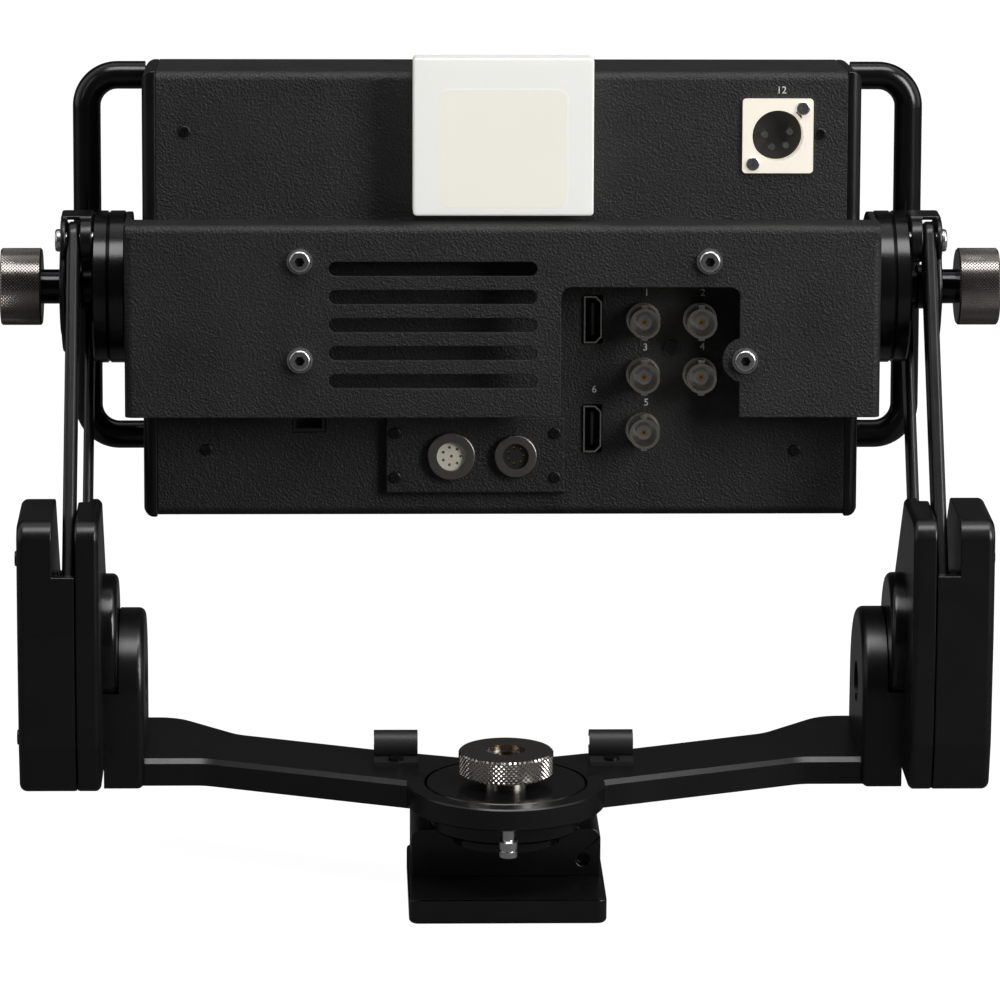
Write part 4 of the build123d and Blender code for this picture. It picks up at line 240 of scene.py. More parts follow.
class KnobSizes(bpy.types.PropertyGroup):
    """Knurls and steps of the turned knobs."""

    fine_pitch: FloatProperty(
        name="Fine pitch", description="Distance between the diamonds of a tilt knob",
        default=1.1 * MM, unit="LENGTH", min=0.5 * MM, max=2.0 * MM, precision=5)
    coarse_pitch: FloatProperty(
        name="Coarse pitch", description="Distance between the diamonds of the pan lock nut",
        default=1.65 * MM, unit="LENGTH", min=0.5 * MM, max=3.0 * MM, precision=5)
    steepness: FloatProperty(
        name="Knurl height", description="Height of a diamond as a share of its pitch",
        default=0.32, min=0.05, max=0.6)
    edge: FloatProperty(
        name="Knob edge", description="Bevel beside the knurl",
        default=0.6 * MM, unit="LENGTH", min=0.1 * MM, max=2.0 * MM, precision=5)
    sleeve_radius: FloatProperty(
        name="Sleeve radius", description="Radius of the plain neck of a tilt knob",
        default=5.5 * MM, unit="LENGTH", min=4.0 * MM, max=8.0 * MM, precision=5)
    sleeve_length: FloatProperty(
        name="Sleeve length", description="Length of the plain neck of a tilt knob",
        default=6.0 * MM, unit="LENGTH", min=2.0 * MM, max=10.0 * MM, precision=5)
    collar_radius: FloatProperty(
        name="Collar radius", description="Radius of the plain collar under the pan lock nut",
        default=8.0 * MM, unit="LENGTH", min=6.0 * MM, max=12.0 * MM, precision=5)
    collar_height: FloatProperty(
        name="Collar height", description="Height of the plain collar under the pan lock nut",
        default=3.0 * MM, unit="LENGTH", min=1.0 * MM, max=6.0 * MM, precision=5)
    mouth_radius: FloatProperty(
        name="Mouth radius", description="Radius of the sunk mouth on top of the pan lock nut",
        default=6.15 * MM, unit="LENGTH", min=5.6 * MM, max=9.0 * MM, precision=5)
    mouth_depth: FloatProperty(
        name="Mouth depth", description="Depth of the sunk mouth on top of the pan lock nut",
        default=2.0 * MM, unit="LENGTH", min=0.5 * MM, max=4.0 * MM, precision=5)
    bore_radius: FloatProperty(
        name="Bore radius", description="Radius of the thread in the pan lock nut",
        default=5.55 * MM, unit="LENGTH", min=5.0 * MM, max=6.0 * MM, precision=5)


class PrintSizes(bpy.types.PropertyGroup):
    """Plain numbers beside the sockets."""

    height: FloatProperty(
        name="Number height", description="Height of a printed number",
        default=2.3 * MM, unit="LENGTH", min=1.0 * MM, max=6.0 * MM, precision=5)
    relief: FloatProperty(
        name="Print relief", description="Thickness of the print on the coat",
        default=0.03 * MM, unit="LENGTH", min=0.01 * MM, max=0.2 * MM, precision=5)


class StageSizes(bpy.types.PropertyGroup):
    """Floor, lights and camera."""

    focal_share: FloatProperty(
        name="Focal length", description="Focal length as a multiple of the sensor's width",
        default=5.75, min=1.0, max=12.0)
    light: FloatProperty(
        name="Light", description="Strength of the studio's surroundings",
        default=1.0, min=0.0, max=5.0)


def vec(*values):
    """A place or size given in millimetres."""
    return Vector(values) * MM


def on_display(x, back, up):
    """World place of a point on the leaning display, from the tilt axis, in millimetres.

    back is counted towards the connector side, up along the case.
    """
    return TILT_AXIS + SIDEWAYS * x * MM + BACKWARDS * back * MM + UPWARDS * up * MM


def back_of(place):
    """How far a world place lies behind the tilt axis, towards the connector side, in millimetres."""
    return (Vector(place) - TILT_AXIS).dot(BACKWARDS) / MM


def up_of(place):
    """How far a world place lies above the tilt axis along the case, in millimetres."""
    return (Vector(place) - TILT_AXIS).dot(UPWARDS) / MM


def node_tree(name):
    """A new material with an empty tree, its output and its main shader."""
    material = bpy.data.materials.new(name)
    material.use_nodes = True
    tree = material.node_tree
    tree.nodes.clear()
    output = tree.nodes.new("ShaderNodeOutputMaterial")
    shader = tree.nodes.new("ShaderNodeBsdfPrincipled")
    tree.links.new(shader.outputs["BSDF"], output.inputs["Surface"])
    return material, tree, shader


def place_texture(tree, kind, scale, **inputs):
    """A texture laid through the object's own space."""
    coordinates = tree.nodes.new("ShaderNodeTexCoord")
    texture = tree.nodes.new(kind)
    tree.links.new(coordinates.outputs["Object"], texture.inputs["Vector"])
    texture.inputs["Scale"].default_value = scale
    for key, value in inputs.items():
        texture.inputs[key].default_value = value
    return texture


def span(tree, value, low, high):
    """Spreads a 0..1 value between low and high."""
    node = tree.nodes.new("ShaderNodeMapRange")
    node.inputs["To Min"].default_value = low
    node.inputs["To Max"].default_value = high
    tree.links.new(value, node.inputs["Value"])
    return node.outputs["Result"]


def blend_colours(tree, value, low, high):
    """A colour between low and high."""
    node = tree.nodes.new("ShaderNodeMix")
    node.data_type = "RGBA"
    tree.links.new(value, node.inputs["Factor"])
    node.inputs["A"].default_value = (*low, 1.0)
    node.inputs["B"].default_value = (*high, 1.0)
    return node.outputs["Result"]


def shade(colour, factor):
    """A lighter or darker tone of a colour."""
    return tuple(min(1.0, part * factor) for part in colour)


def relief(tree, shader, height, distance, strength):
    """Turns a height into a bump on the shader."""
    node = tree.nodes.new("ShaderNodeBump")
    node.inputs["Distance"].default_value = distance
    node.inputs["Strength"].default_value = strength
    tree.links.new(height, node.inputs["Height"])
    tree.links.new(node.outputs["Normal"], shader.inputs["Normal"])


def powder_coat(colours):
    """Textured black powder coat: leathery bumps, and lighter specks painted on the tops of the grains
    as a painted highlight, spread by a random cloud.
    """
    material, tree, shader = node_tree("powder_coat")
    grains = place_texture(tree, "ShaderNodeTexVoronoi", 1.0 / colours.grain, Randomness=1.0)
    grains.feature = "SMOOTH_F1"
    hills = place_texture(tree, "ShaderNodeTexNoise", 1.4 / colours.grain, Detail=4.0, Roughness=0.6)
    cloud = place_texture(tree, "ShaderNodeTexNoise", POWDER_CLOUD, Detail=3.0)
    fine = place_texture(tree, "ShaderNodeTexNoise", POWDER_FINE, Detail=2.0)
    mottle_and_painted_glints = tree.nodes.new("ShaderNodeMath")
    mottle_and_painted_glints.operation = "MULTIPLY"
    tree.links.new(cloud.outputs["Fac"], mottle_and_painted_glints.inputs[0])
    tree.links.new(hills.outputs["Fac"], mottle_and_painted_glints.inputs[1])
    # Painted highlight: the colour grows lighter where the bump's hills are high, times a random cloud
    tone = blend_colours(tree, span(tree, mottle_and_painted_glints.outputs["Value"], 0.0, 3.0),
                         shade(colours.powder, 0.45), shade(colours.powder, 1.7))
    tree.links.new(tone, shader.inputs["Base Color"])
    tree.links.new(span(tree, fine.outputs["Fac"], 0.40, 0.62), shader.inputs["Roughness"])
    height = tree.nodes.new("ShaderNodeMath")
    height.operation = "ADD"
    tree.links.new(grains.outputs["Distance"], height.inputs[0])
    tree.links.new(hills.outputs["Fac"], height.inputs[1])
    relief(tree, shader, height.outputs["Value"], POWDER_BUMP, 0.9)
    shader.inputs["Specular IOR Level"].default_value = 0.42
    return material


def satin_anodised(colours, name="satin_anodised", rough_low=0.24, rough_high=0.36):
    """Satin black anodised aluminium with a faint cloud from the blasting."""
    material, tree, shader = node_tree(name)
    cloud = place_texture(tree, "ShaderNodeTexNoise", ANODISED_CLOUD, Detail=4.0)
    blast = place_texture(tree, "ShaderNodeTexNoise", ANODISED_BLAST, Detail=2.0)
    tone = blend_colours(tree, cloud.outputs["Fac"],
                         shade(colours.anodised, 0.6), shade(colours.anodised, 1.4))
    tree.links.new(tone, shader.inputs["Base Color"])
    tree.links.new(span(tree, cloud.outputs["Fac"], rough_low, rough_high), shader.inputs["Roughness"])
    relief(tree, shader, blast.outputs["Fac"], BLAST_BUMP, 0.4)
    return material


def ringed_metal(name, colour, centre, rough):
    """Turned face of bare metal, with tool rings about an upright axis."""
    material, tree, shader = node_tree(name)
    coordinates = tree.nodes.new("ShaderNodeTexCoord")
    shift = tree.nodes.new("ShaderNodeMapping")
    shift.inputs["Location"].default_value = [-part for part in centre]
    rings = tree.nodes.new("ShaderNodeTexWave")
    rings.wave_type = "RINGS"
    rings.rings_direction = "Z"
    rings.inputs["Scale"].default_value = TOOL_RINGS
    rings.inputs["Distortion"].default_value = 0.4
    tree.links.new(coordinates.outputs["Object"], shift.inputs["Vector"])
    tree.links.new(shift.outputs["Vector"], rings.inputs["Vector"])
    tone = blend_colours(tree, rings.outputs["Fac"], shade(colour, 0.72), shade(colour, 1.05))
    tree.links.new(tone, shader.inputs["Base Color"])
    tree.links.new(span(tree, rings.outputs["Fac"], rough, rough + 0.12), shader.inputs["Roughness"])
    relief(tree, shader, rings.outputs["Fac"], RING_BUMP, 0.5)
    shader.inputs["Metallic"].default_value = 1.0
    return material


def turned_metal(name, colour, rough_low, rough_high):
    """Plated or bare metal with fine tool marks."""
    material, tree, shader = node_tree(name)
    marks = place_texture(tree, "ShaderNodeTexNoise", TOOL_MARKS, Detail=3.0)
    cloud = place_texture(tree, "ShaderNodeTexNoise", METAL_CLOUD, Detail=2.0)
    tone = blend_colours(tree, cloud.outputs["Fac"], shade(colour, 0.86), shade(colour, 1.08))
    tree.links.new(tone, shader.inputs["Base Color"])
    tree.links.new(span(tree, marks.outputs["Fac"], rough_low, rough_high), shader.inputs["Roughness"])
    relief(tree, shader, marks.outputs["Fac"], MARK_BUMP, 0.3)
    shader.inputs["Metallic"].default_value = 1.0
    return material


def moulded_plastic(name, colour, rough_low, rough_high):
    """Moulded plastic with an eroded satin skin."""
    material, tree, shader = node_tree(name)
    skin = place_texture(tree, "ShaderNodeTexNoise", PLASTIC_SKIN, Detail=3.0)
    cloud = place_texture(tree, "ShaderNodeTexNoise", PLASTIC_CLOUD, Detail=2.0)
    tone = blend_colours(tree, cloud.outputs["Fac"], shade(colour, 0.9), shade(colour, 1.1))
    tree.links.new(tone, shader.inputs["Base Color"])
    tree.links.new(span(tree, skin.outputs["Fac"], rough_low, rough_high), shader.inputs["Roughness"])
    relief(tree, shader, skin.outputs["Fac"], SKIN_BUMP, 0.3)
    return material


def milky_plastic_with_painted_glow(name, colour, glow):
    """Opal plastic that lets light soak in, with a painted glow from emission that brightens it."""
    material, tree, shader = node_tree(name)
    cloud = place_texture(tree, "ShaderNodeTexNoise", OPAL_CLOUD, Detail=2.0)
    tone = blend_colours(tree, cloud.outputs["Fac"], shade(colour, 0.97), shade(colour, 1.03))
    tree.links.new(tone, shader.inputs["Base Color"])
    shader.inputs["Roughness"].default_value = 0.28
    shader.inputs["Subsurface Weight"].default_value = 0.35
    shader.inputs["Subsurface Radius"].default_value = (4.0 * MM, 3.6 * MM, 3.0 * MM)
    shader.inputs["Subsurface Scale"].default_value = 1.0
    # Painted glow: emission in the plastic's own colour makes the unlit plastic brighter, as if light
    # came from inside
    shader.inputs["Emission Color"].default_value = (*colour, 1.0)
    shader.inputs["Emission Strength"].default_value = glow
    return material


def dark_panel():
    """Liquid crystal panel with the faint weave of its picture points."""
    material, tree, shader = node_tree("dark_panel")
    points = place_texture(tree, "ShaderNodeTexChecker", PICTURE_POINTS)
    points.inputs["Color1"].default_value = (0.004, 0.004, 0.005, 1.0)
    points.inputs["Color2"].default_value = (0.007, 0.007, 0.009, 1.0)
    tree.links.new(points.outputs["Color"], shader.inputs["Base Color"])
    shader.inputs["Roughness"].default_value = 0.22
    shader.inputs["Coat Weight"].default_value = 0.6
    return material


def front_pane():
    """Clear pane with an anti-glare etch."""
    material, tree, shader = node_tree("front_pane")
    etch = place_texture(tree, "ShaderNodeTexNoise", PANE_ETCH, Detail=2.0)
    tree.links.new(span(tree, etch.outputs["Fac"], 0.08, 0.14), shader.inputs["Roughness"])
    shader.inputs["Base Color"].default_value = (0.92, 0.94, 0.95, 1.0)
    shader.inputs["Transmission Weight"].default_value = 1.0
    shader.inputs["IOR"].default_value = 1.45
    return material


def lacquered_board():
    """Green lacquer over copper tracks."""
    material, tree, shader = node_tree("lacquered_board")
    tracks = place_texture(tree, "ShaderNodeTexBrick", BOARD_TRACKS)
    tracks.inputs["Color1"].default_value = (0.01, 0.09, 0.04, 1.0)
    tracks.inputs["Color2"].default_value = (0.012, 0.11, 0.05, 1.0)
    tracks.inputs["Mortar"].default_value = (0.03, 0.16, 0.07, 1.0)
    tree.links.new(tracks.outputs["Color"], shader.inputs["Base Color"])
    shader.inputs["Roughness"].default_value = 0.32
    return material


def printed_white():
    """White screen print."""
    material, tree, shader = node_tree("printed_white")
    wear = place_texture(tree, "ShaderNodeTexNoise", PRINT_WEAR, Detail=3.0)
    tone = blend_colours(tree, wear.outputs["Fac"], (0.55, 0.55, 0.54), (0.85, 0.85, 0.84))
    tree.links.new(tone, shader.inputs["Base Color"])
    shader.inputs["Roughness"].default_value = 0.5
    return material


def warm_plate_painted_glow():
    """Warm white plating of the power socket, made bright all over by a painted glow."""
    material, tree, shader = node_tree("warm_plate_painted_glow")
    cloud = place_texture(tree, "ShaderNodeTexNoise", PLATE_CLOUD, Detail=2.0)
    tone = blend_colours(tree, cloud.outputs["Fac"], (0.78, 0.72, 0.62), (0.90, 0.85, 0.75))
    tree.links.new(tone, shader.inputs["Base Color"])
    shader.inputs["Metallic"].default_value = 0.35
    shader.inputs["Roughness"].default_value = 0.34
    # Painted glow: emission makes the plate shine though it is no lamp
    shader.inputs["Emission Color"].default_value = (0.95, 0.88, 0.76, 1.0)
    shader.inputs["Emission Strength"].default_value = 0.5
    return material


finishes = {}


def make_finishes(colours):
    """All finishes, by name."""
    finishes["powder"] = powder_coat(colours)
    finishes["anodised"] = satin_anodised(colours)
    finishes["turned_black"] = satin_anodised(colours, "turned_black", 0.16, 0.24)
    finishes["nickel"] = turned_metal("bright_nickel", colours.nickel, 0.16, 0.26)
    finishes["dark_nickel"] = turned_metal("dark_nickel", colours.dark_nickel, 0.26, 0.4)
    finishes["steel"] = turned_metal("bright_steel", STEEL, 0.2, 0.3)
    finishes["black_steel"] = turned_metal("black_steel", BLACK_STEEL, 0.3, 0.42)
    finishes["gold"] = turned_metal("gold_plate", colours.gold, 0.16, 0.26)
    finishes["black_plastic"] = moulded_plastic("black_plastic", BLACK_PLASTIC, 0.4, 0.55)
    # The tally's opal box and warm diffuser carry a painted glow of emission strength 0.27 and 0.26
    finishes["milky"] = milky_plastic_with_painted_glow("opal_box_painted_glow", colours.milky, 0.27)
    finishes["warm"] = milky_plastic_with_painted_glow("warm_diffuser_painted_glow", colours.warm, 0.26)
    finishes["cream_plastic"] = moulded_plastic("cream_plastic", CREAM_PLASTIC, 0.3, 0.4)
    finishes["grey_plastic"] = moulded_plastic("grey_plastic", GREY_PLASTIC, 0.35, 0.5)
    finishes["warm_plate_painted_glow"] = warm_plate_painted_glow()
    finishes["knurl_dark"] = turned_metal("knurled_dark_nickel", colours.dark_nickel, 0.16, 0.26)
    finishes["knurl_pale"] = turned_metal("knurled_pale_nickel", PALE_NICKEL, 0.16, 0.26)
    finishes["gloss_black"] = turned_metal("gloss_black", GLOSS_BLACK, 0.1, 0.16)
    # Near-black painted shade for the insides of recesses
    finishes["painted_recess_shade"] = moulded_plastic("painted_recess_shade", PAINTED_RECESS_SHADE, 0.5, 0.6)
    finishes["panel"] = dark_panel()
    finishes["pane"] = front_pane()
    finishes["board"] = lacquered_board()
    finishes["print"] = printed_white()


def dress(names, finish):
    """Gives carried-over pieces a finish."""
    for name in names:
        mesh = frame["nodes"][name].data
        mesh.materials.clear()
        mesh.materials.append(finishes[finish])


def dress_where(name, finish, wanted):
    """Gives a second finish to the faces of a carried-over piece whose middle is wanted."""
    mesh = frame["nodes"][name].data
    mesh.materials.append(finishes[finish])
    slot = len(mesh.materials) - 1
    for face in mesh.polygons:
        if wanted(face.center):
            face.material_index = slot


def rear_face_of(name):
    """How far the rearmost face of a carried-over piece lies behind the tilt axis, in millimetres."""
    return max(back_of(corner.co) for corner in frame["nodes"][name].data.vertices)


def in_hex(place):
    """True for a place inside the hexagon of a bracket screw, where the painted shade goes."""
    return any(math.hypot(place.x / MM - x, up_of(place) - up) < HEX_REACH
               for x, up in BRACKET_SCREWS)


def on_power_plate(place):
    """True for a place over the plate of the power socket."""
    low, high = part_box("power_socket")
    return low[0] < place.x < high[0]


def soften(names, width):
    """Rounds the sharp edges of carried-over pieces."""
    for name in names:
        piece = frame["nodes"][name]
        weld = piece.modifiers.new("weld", "WELD")
        weld.merge_threshold = WELD_REACH
        flat = piece.modifiers.new("flat", "DECIMATE")
        flat.decimate_type = "DISSOLVE"
        flat.angle_limit = FLAT_ANGLE
        edge = piece.modifiers.new("edge", "BEVEL")
        edge.width = width
        edge.segments = EDGE_SEGMENTS
        edge.limit_method = "ANGLE"
        edge.angle_limit = EDGE_ANGLE
        edge.use_clamp_overlap = False
        normals = piece.modifiers.new("normals", "WEIGHTED_NORMAL")
        normals.keep_sharp = True
        for face in piece.data.polygons:
            face.use_smooth = True


class VIEWFINDER_OT_finishes(bpy.types.Operator):
    """Give every carried-over piece its finish"""

    bl_idname = "viewfinder.finishes"
    bl_label = "Finishes"

    def execute(self, context):
        make_finishes(context.scene.viewfinder_colours)
        dress(POWDER_PIECES, "powder")
        dress(ANODISED_PIECES, "anodised")
        dress(TURNED_BLACK_PIECES, "turned_black")
        dress(BLACK_STEEL_PIECES, "black_steel")
        dress(BRIGHT_STEEL_PIECES, "steel")
        dress(NICKEL_PIECES, "nickel")
        dress(BLACK_PLASTIC_PIECES, "black_plastic")
        dress(("pan_lock_knob",), "nickel")
        dress(("power_socket",), "warm_plate_painted_glow")
        dress(("round_sockets", "tilt_knob_left", "tilt_knob_right"), "dark_nickel")
        dress(("contact_pins",), "gold")
        dress(("dial_1", "dial_2", "dial_3"), "grey_plastic")
        dress(("post_bolt",), "gold")
        dress(("coax_cores",), "steel")
        dress(("tally_lens",), "milky")
        dress(("tally_diffuser",), "warm")
        dress(("lcd_panel",), "panel")
        dress(("front_glass",), "pane")
        dress(("main_board", "control_board"), "board")
        dress_where("contact_pins", "steel", lambda place: place.z > TILT_AXIS.z)
        dress_where("socket_inserts", "cream_plastic",
                    lambda place: place.z < TILT_AXIS.z and place.x < ROUND_SPLIT_X * MM)
        dress_where("case_screws", "steel",
                    lambda place: place.z > TILT_AXIS.z and on_power_plate(place))
        # Painted shade: faces deeper than the rim inside the digital sockets turn near-black, where
        # shadow falls in the recess
        shell = rear_face_of("digital_sockets") - RIM_DEPTH
        dress_where("digital_sockets", "painted_recess_shade", lambda place: back_of(place) < shell)
        # Painted shade: faces inside the bracket screws' hexagons, deeper than the rim, turn
        # near-black
        head = rear_face_of("bracket_screws") - RIM_DEPTH
        dress_where("bracket_screws", "painted_recess_shade", lambda place: back_of(place) < head and in_hex(place))
        return {"FINISHED"}


class VIEWFINDER_OT_edges(bpy.types.Operator):
    """Soften the edges of the carried-over pieces"""

    bl_idname = "viewfinder.edges"
    bl_label = "Soft edges"

    def execute(self, context):
        sizes = context.scene.viewfinder_edges
        # The crossbar stays as it is: the dissolve would close the hole in the top of its ring
        soften([name for name in ANODISED_PIECES if name != "crossbar"], sizes.machined)
        soften(POWDER_PIECES, sizes.sheet)
        soften(("tally_lens",), sizes.machined)
        return {"FINISHED"}


def plain_ring(height, radius):
    """One ring of a turned body that has the same radius all round."""
    return height, [radius]


def knurled_rings(low, high, radius, pitch, sizes):
    """Rings of a diamond knurl between two heights."""
    count = round(2.0 * math.pi * radius / pitch)
    rows = STEPS_PER_DIAMOND * round((high - low) / pitch)
    rings = []
    for row in range(rows + 1):
        radii = []
        for step in range(STEPS_PER_DIAMOND * count):
            rising = (step + row) / STEPS_PER_DIAMOND % 1.0
            falling = (step - row) / STEPS_PER_DIAMOND % 1.0
            crest = min(1.0 - abs(2.0 * rising - 1.0), 1.0 - abs(2.0 * falling - 1.0))
            radii.append(radius - sizes.steepness * pitch * (1.0 - crest))
        rings.append((low + (high - low) * row / rows, radii))
    return rings


def turned_body(name, rings, origin, axis, looks, closed=False):
    """A body turned about an axis from rings of radii, closed to a loop or capped at both ends.

    looks maps the number of a band between two rings to the finish that it starts.
    """
    sides = max(len(radii) for _, radii in rings)
    to_world = Matrix.Translation(origin) @ axis.to_track_quat("Z", "Y").to_matrix().to_4x4()
    bm = bmesh.new()
    rows = []
    for height, radii in rings:
        row = []
        for step in range(sides):
            angle = 2.0 * math.pi * step / sides
            radius = radii[step % len(radii)]
            place = Vector((radius * math.cos(angle), radius * math.sin(angle), height))
            row.append(bm.verts.new(to_world @ place))
        rows.append(row)
    pairs = list(zip(rows, rows[1:]))
    if closed:
        pairs.append((rows[-1], rows[0]))
    slot = 0
    for band, (low_row, high_row) in enumerate(pairs):
        slot = list(looks).index(band) if band in looks else slot
        for step in range(sides):
            after = (step + 1) % sides
            face = bm.faces.new((low_row[step], low_row[after], high_row[after], high_row[step]))
            face.material_index = slot
    if not closed:
        bm.faces.new(list(reversed(rows[0])))
        bm.faces.new(rows[-1]).material_index = slot
    bmesh.ops.recalc_face_normals(bm, faces=bm.faces)
    mesh = bpy.data.meshes.new(name)
    bm.to_mesh(mesh)
    bm.free()
    for finish in looks.values():
        mesh.materials.append(finishes[finish])
    for face in mesh.polygons:
        face.use_smooth = True
    mesh.set_sharp_from_angle(angle=SHARP_ANGLE)
    piece = bpy.data.objects.new(name, mesh)
    bpy.context.scene.collection.objects.link(piece)
    return piece


def tilt_knob(side, sizes):
    """Knurled tilt knob on its neck; side is left or right."""
    node = f"tilt_knob_{side}"
    low, high = (Vector(corner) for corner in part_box(node))
    radius = (high.z - low.z) / 2.0
    length = high.x - low.x
    outward = 1.0 if side == "right" else -1.0
    start_x = low.x if side == "right" else high.x
    origin = Vector((start_x, (low.y + high.y) / 2.0, (low.z + high.z) / 2.0))
    neck = sizes.sleeve_length
    rings = [plain_ring(0.0, sizes.sleeve_radius), plain_ring(neck, sizes.sleeve_radius)]
    rings.append(plain_ring(neck, radius - sizes.edge))
    rings.extend(knurled_rings(neck + sizes.edge, length - sizes.edge, radius,
                               sizes.fine_pitch, sizes))
    rings.append(plain_ring(length, radius - sizes.edge))
    rings.append(plain_ring(length, radius * DISH_RIM))
    rings.append(plain_ring(length - sizes.edge, radius * DISH_FLOOR))
    rings.append(plain_ring(length - sizes.edge, radius * DISH_MIDDLE))
    looks = {0: "gloss_black", 1: "knurl_dark"}
    axis = Vector((outward, 0.0, 0.0))
    piece = turned_body(f"knurled_tilt_knob_{side}", rings, origin, axis, looks)
    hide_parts(node)
    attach(piece, f"tilt_lock_{side}")


def pan_lock_nut(sizes):
    """Knurled lock nut on the pan axis, with a turned top and a sunk mouth."""
    low, high = (Vector(corner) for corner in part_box("pan_lock_knob"))
    radius = (high.x - low.x) / 2.0
    height = high.z - low.z
    origin = Vector(((low.x + high.x) / 2.0, (low.y + high.y) / 2.0, low.z))
    rings = [
        plain_ring(0.0, sizes.bore_radius),
        plain_ring(0.0, sizes.collar_radius),
        plain_ring(sizes.collar_height, sizes.collar_radius),
        plain_ring(sizes.collar_height, radius - sizes.edge),
    ]
    rings.extend(knurled_rings(sizes.collar_height + sizes.edge, height - sizes.edge, radius,
                               sizes.coarse_pitch, sizes))
    top_band = len(rings)
    rings.append(plain_ring(height, radius - sizes.edge))
    rings.append(plain_ring(height, sizes.mouth_radius))
    rings.append(plain_ring(height - sizes.mouth_depth, sizes.mouth_radius))
    rings.append(plain_ring(height - sizes.mouth_depth, sizes.bore_radius))
    finishes["nut_top"] = ringed_metal("turned_nut", TURNED_NUT, origin, 0.2)
    looks = {0: "knurl_pale", top_band: "nut_top"}
    axis = Vector((0.0, 0.0, 1.0))
    piece = turned_body("knurled_pan_lock_nut", rings, origin, axis, looks, closed=True)
    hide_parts("pan_lock_knob")
    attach(piece, "pan_lock")


class VIEWFINDER_OT_knobs(bpy.types.Operator):
    """Cut the knurls of the tilt knobs and of the pan lock nut"""

    bl_idname = "viewfinder.knobs"
    bl_label = "Knurled knobs"

    def execute(self, context):
        sizes = context.scene.viewfinder_knobs
        tilt_knob("left", sizes)
        tilt_knob("right", sizes)
        pan_lock_nut(sizes)
        return {"FINISHED"}


def printed_number(text, across, up, sizes):
    """One number printed on the rear cover."""
    curve = bpy.data.curves.new(f"number_{text}", "FONT")
    curve.body = text
    curve.size = sizes.height * LINE_SHARE
    curve.align_x = "CENTER"
    curve.align_y = "CENTER"
    curve.extrude = sizes.relief
    draft = bpy.data.objects.new(f"number_draft_{text}", curve)
    bpy.context.scene.collection.objects.link(draft)
    evaluated = draft.evaluated_get(bpy.context.evaluated_depsgraph_get())
    mesh = bpy.data.meshes.new_from_object(evaluated)
    bpy.data.objects.remove(draft)
    mesh.name = f"printed_number_{text}"
    place = Matrix.Translation(on_display(across, CASE_BACK, up))
    turn = Matrix((SIDEWAYS, UPWARDS, BACKWARDS)).transposed().to_4x4()
    mesh.transform(place @ turn)
    mesh.materials.clear()
    mesh.materials.append(finishes["print"])
    piece = bpy.data.objects.new(f"printed_number_{text}", mesh)
    bpy.context.scene.collection.objects.link(piece)
    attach(piece, "display")


def rounded_outline(half_width, low, high, radius):
    """Points of a rectangle with round corners, across and up, in millimetres."""
    points = []
    for side, end, start in ((1, high, 0.0), (-1, high, 90.0), (-1, low, 180.0), (1, low, 270.0)):
        centre_up = end - radius if end == high else end + radius
        for step in range(CORNER_STEPS + 1):
            angle = math.radians(start + 90.0 * step / CORNER_STEPS)
            points.append((side * (half_width - radius) + radius * math.cos(angle),
                           centre_up + radius * math.sin(angle)))
    return points


def tally_piece(name, outlines, backs, finish):
    """A thin plate on the tally lamp, between outlines at their depths behind the tilt axis."""
    bm = bmesh.new()
    rows = []
    for outline, back in zip(outlines, backs):
        rows.append([bm.verts.new(on_display(across, back, up)) for across, up in outline])
    for near, far in zip(rows, rows[1:]):
        for step in range(len(near)):
            after = (step + 1) % len(near)
            bm.faces.new((near[step], near[after], far[after], far[step]))
    bm.faces.new(rows[0])
    bm.faces.new(rows[-1])
    bmesh.ops.recalc_face_normals(bm, faces=bm.faces)
    mesh = bpy.data.meshes.new(name)
    bm.to_mesh(mesh)
    bm.free()
    mesh.materials.append(finishes[finish])
    piece = bpy.data.objects.new(name, mesh)
    bpy.context.scene.collection.objects.link(piece)
    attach(piece, "display")


class VIEWFINDER_OT_tally(bpy.types.Operator):
    """Set the warm square into the rear face of the tally lamp"""

    bl_idname = "viewfinder.tally"
    bl_label = "Tally window"

    def execute(self, context):
        sizes = context.scene.viewfinder_prints
        face = rear_face_of("tally_lens")
        edge = sizes.relief / MM
        border, window, inner = (
            rounded_outline(TALLY_HALF_WIDTH + grow, TALLY_LOW - grow, TALLY_HIGH + grow, TALLY_CORNER)
            for grow in (TALLY_RIM, 0.0, -TALLY_SLOPE)
        )
        tally_piece("tally_window_rim", (border, window), (face - edge, face + edge), "milky")
        tally_piece("tally_window", (window, inner), (face, face + 2 * edge), "warm")
        return {"FINISHED"}


class VIEWFINDER_OT_prints(bpy.types.Operator):
    """Print the plain numbers beside the sockets"""

    bl_idname = "viewfinder.prints"
    bl_label = "Printed numbers"

    def execute(self, context):
        sizes = context.scene.viewfinder_prints
        for text, across, up in NUMBERS:
            printed_number(text, across, up, sizes)
        return {"FINISHED"}


class VIEWFINDER_OT_stage(bpy.types.Operator):
    """Build the floor, the lights and the camera"""

    bl_idname = "viewfinder.stage"
    bl_label = "Stage"

    def execute(self, context):
        sizes = context.scene.viewfinder_stage
        scene = context.scene
        build_floor()
        scene.world = build_studio(sizes)
        scene.view_settings.view_transform = "Standard"
        make_camera(scene, sizes)
        for name, place, size, power in SOFT_BOXES:
            soft_box(name, place, size, power)
        return {"FINISHED"}


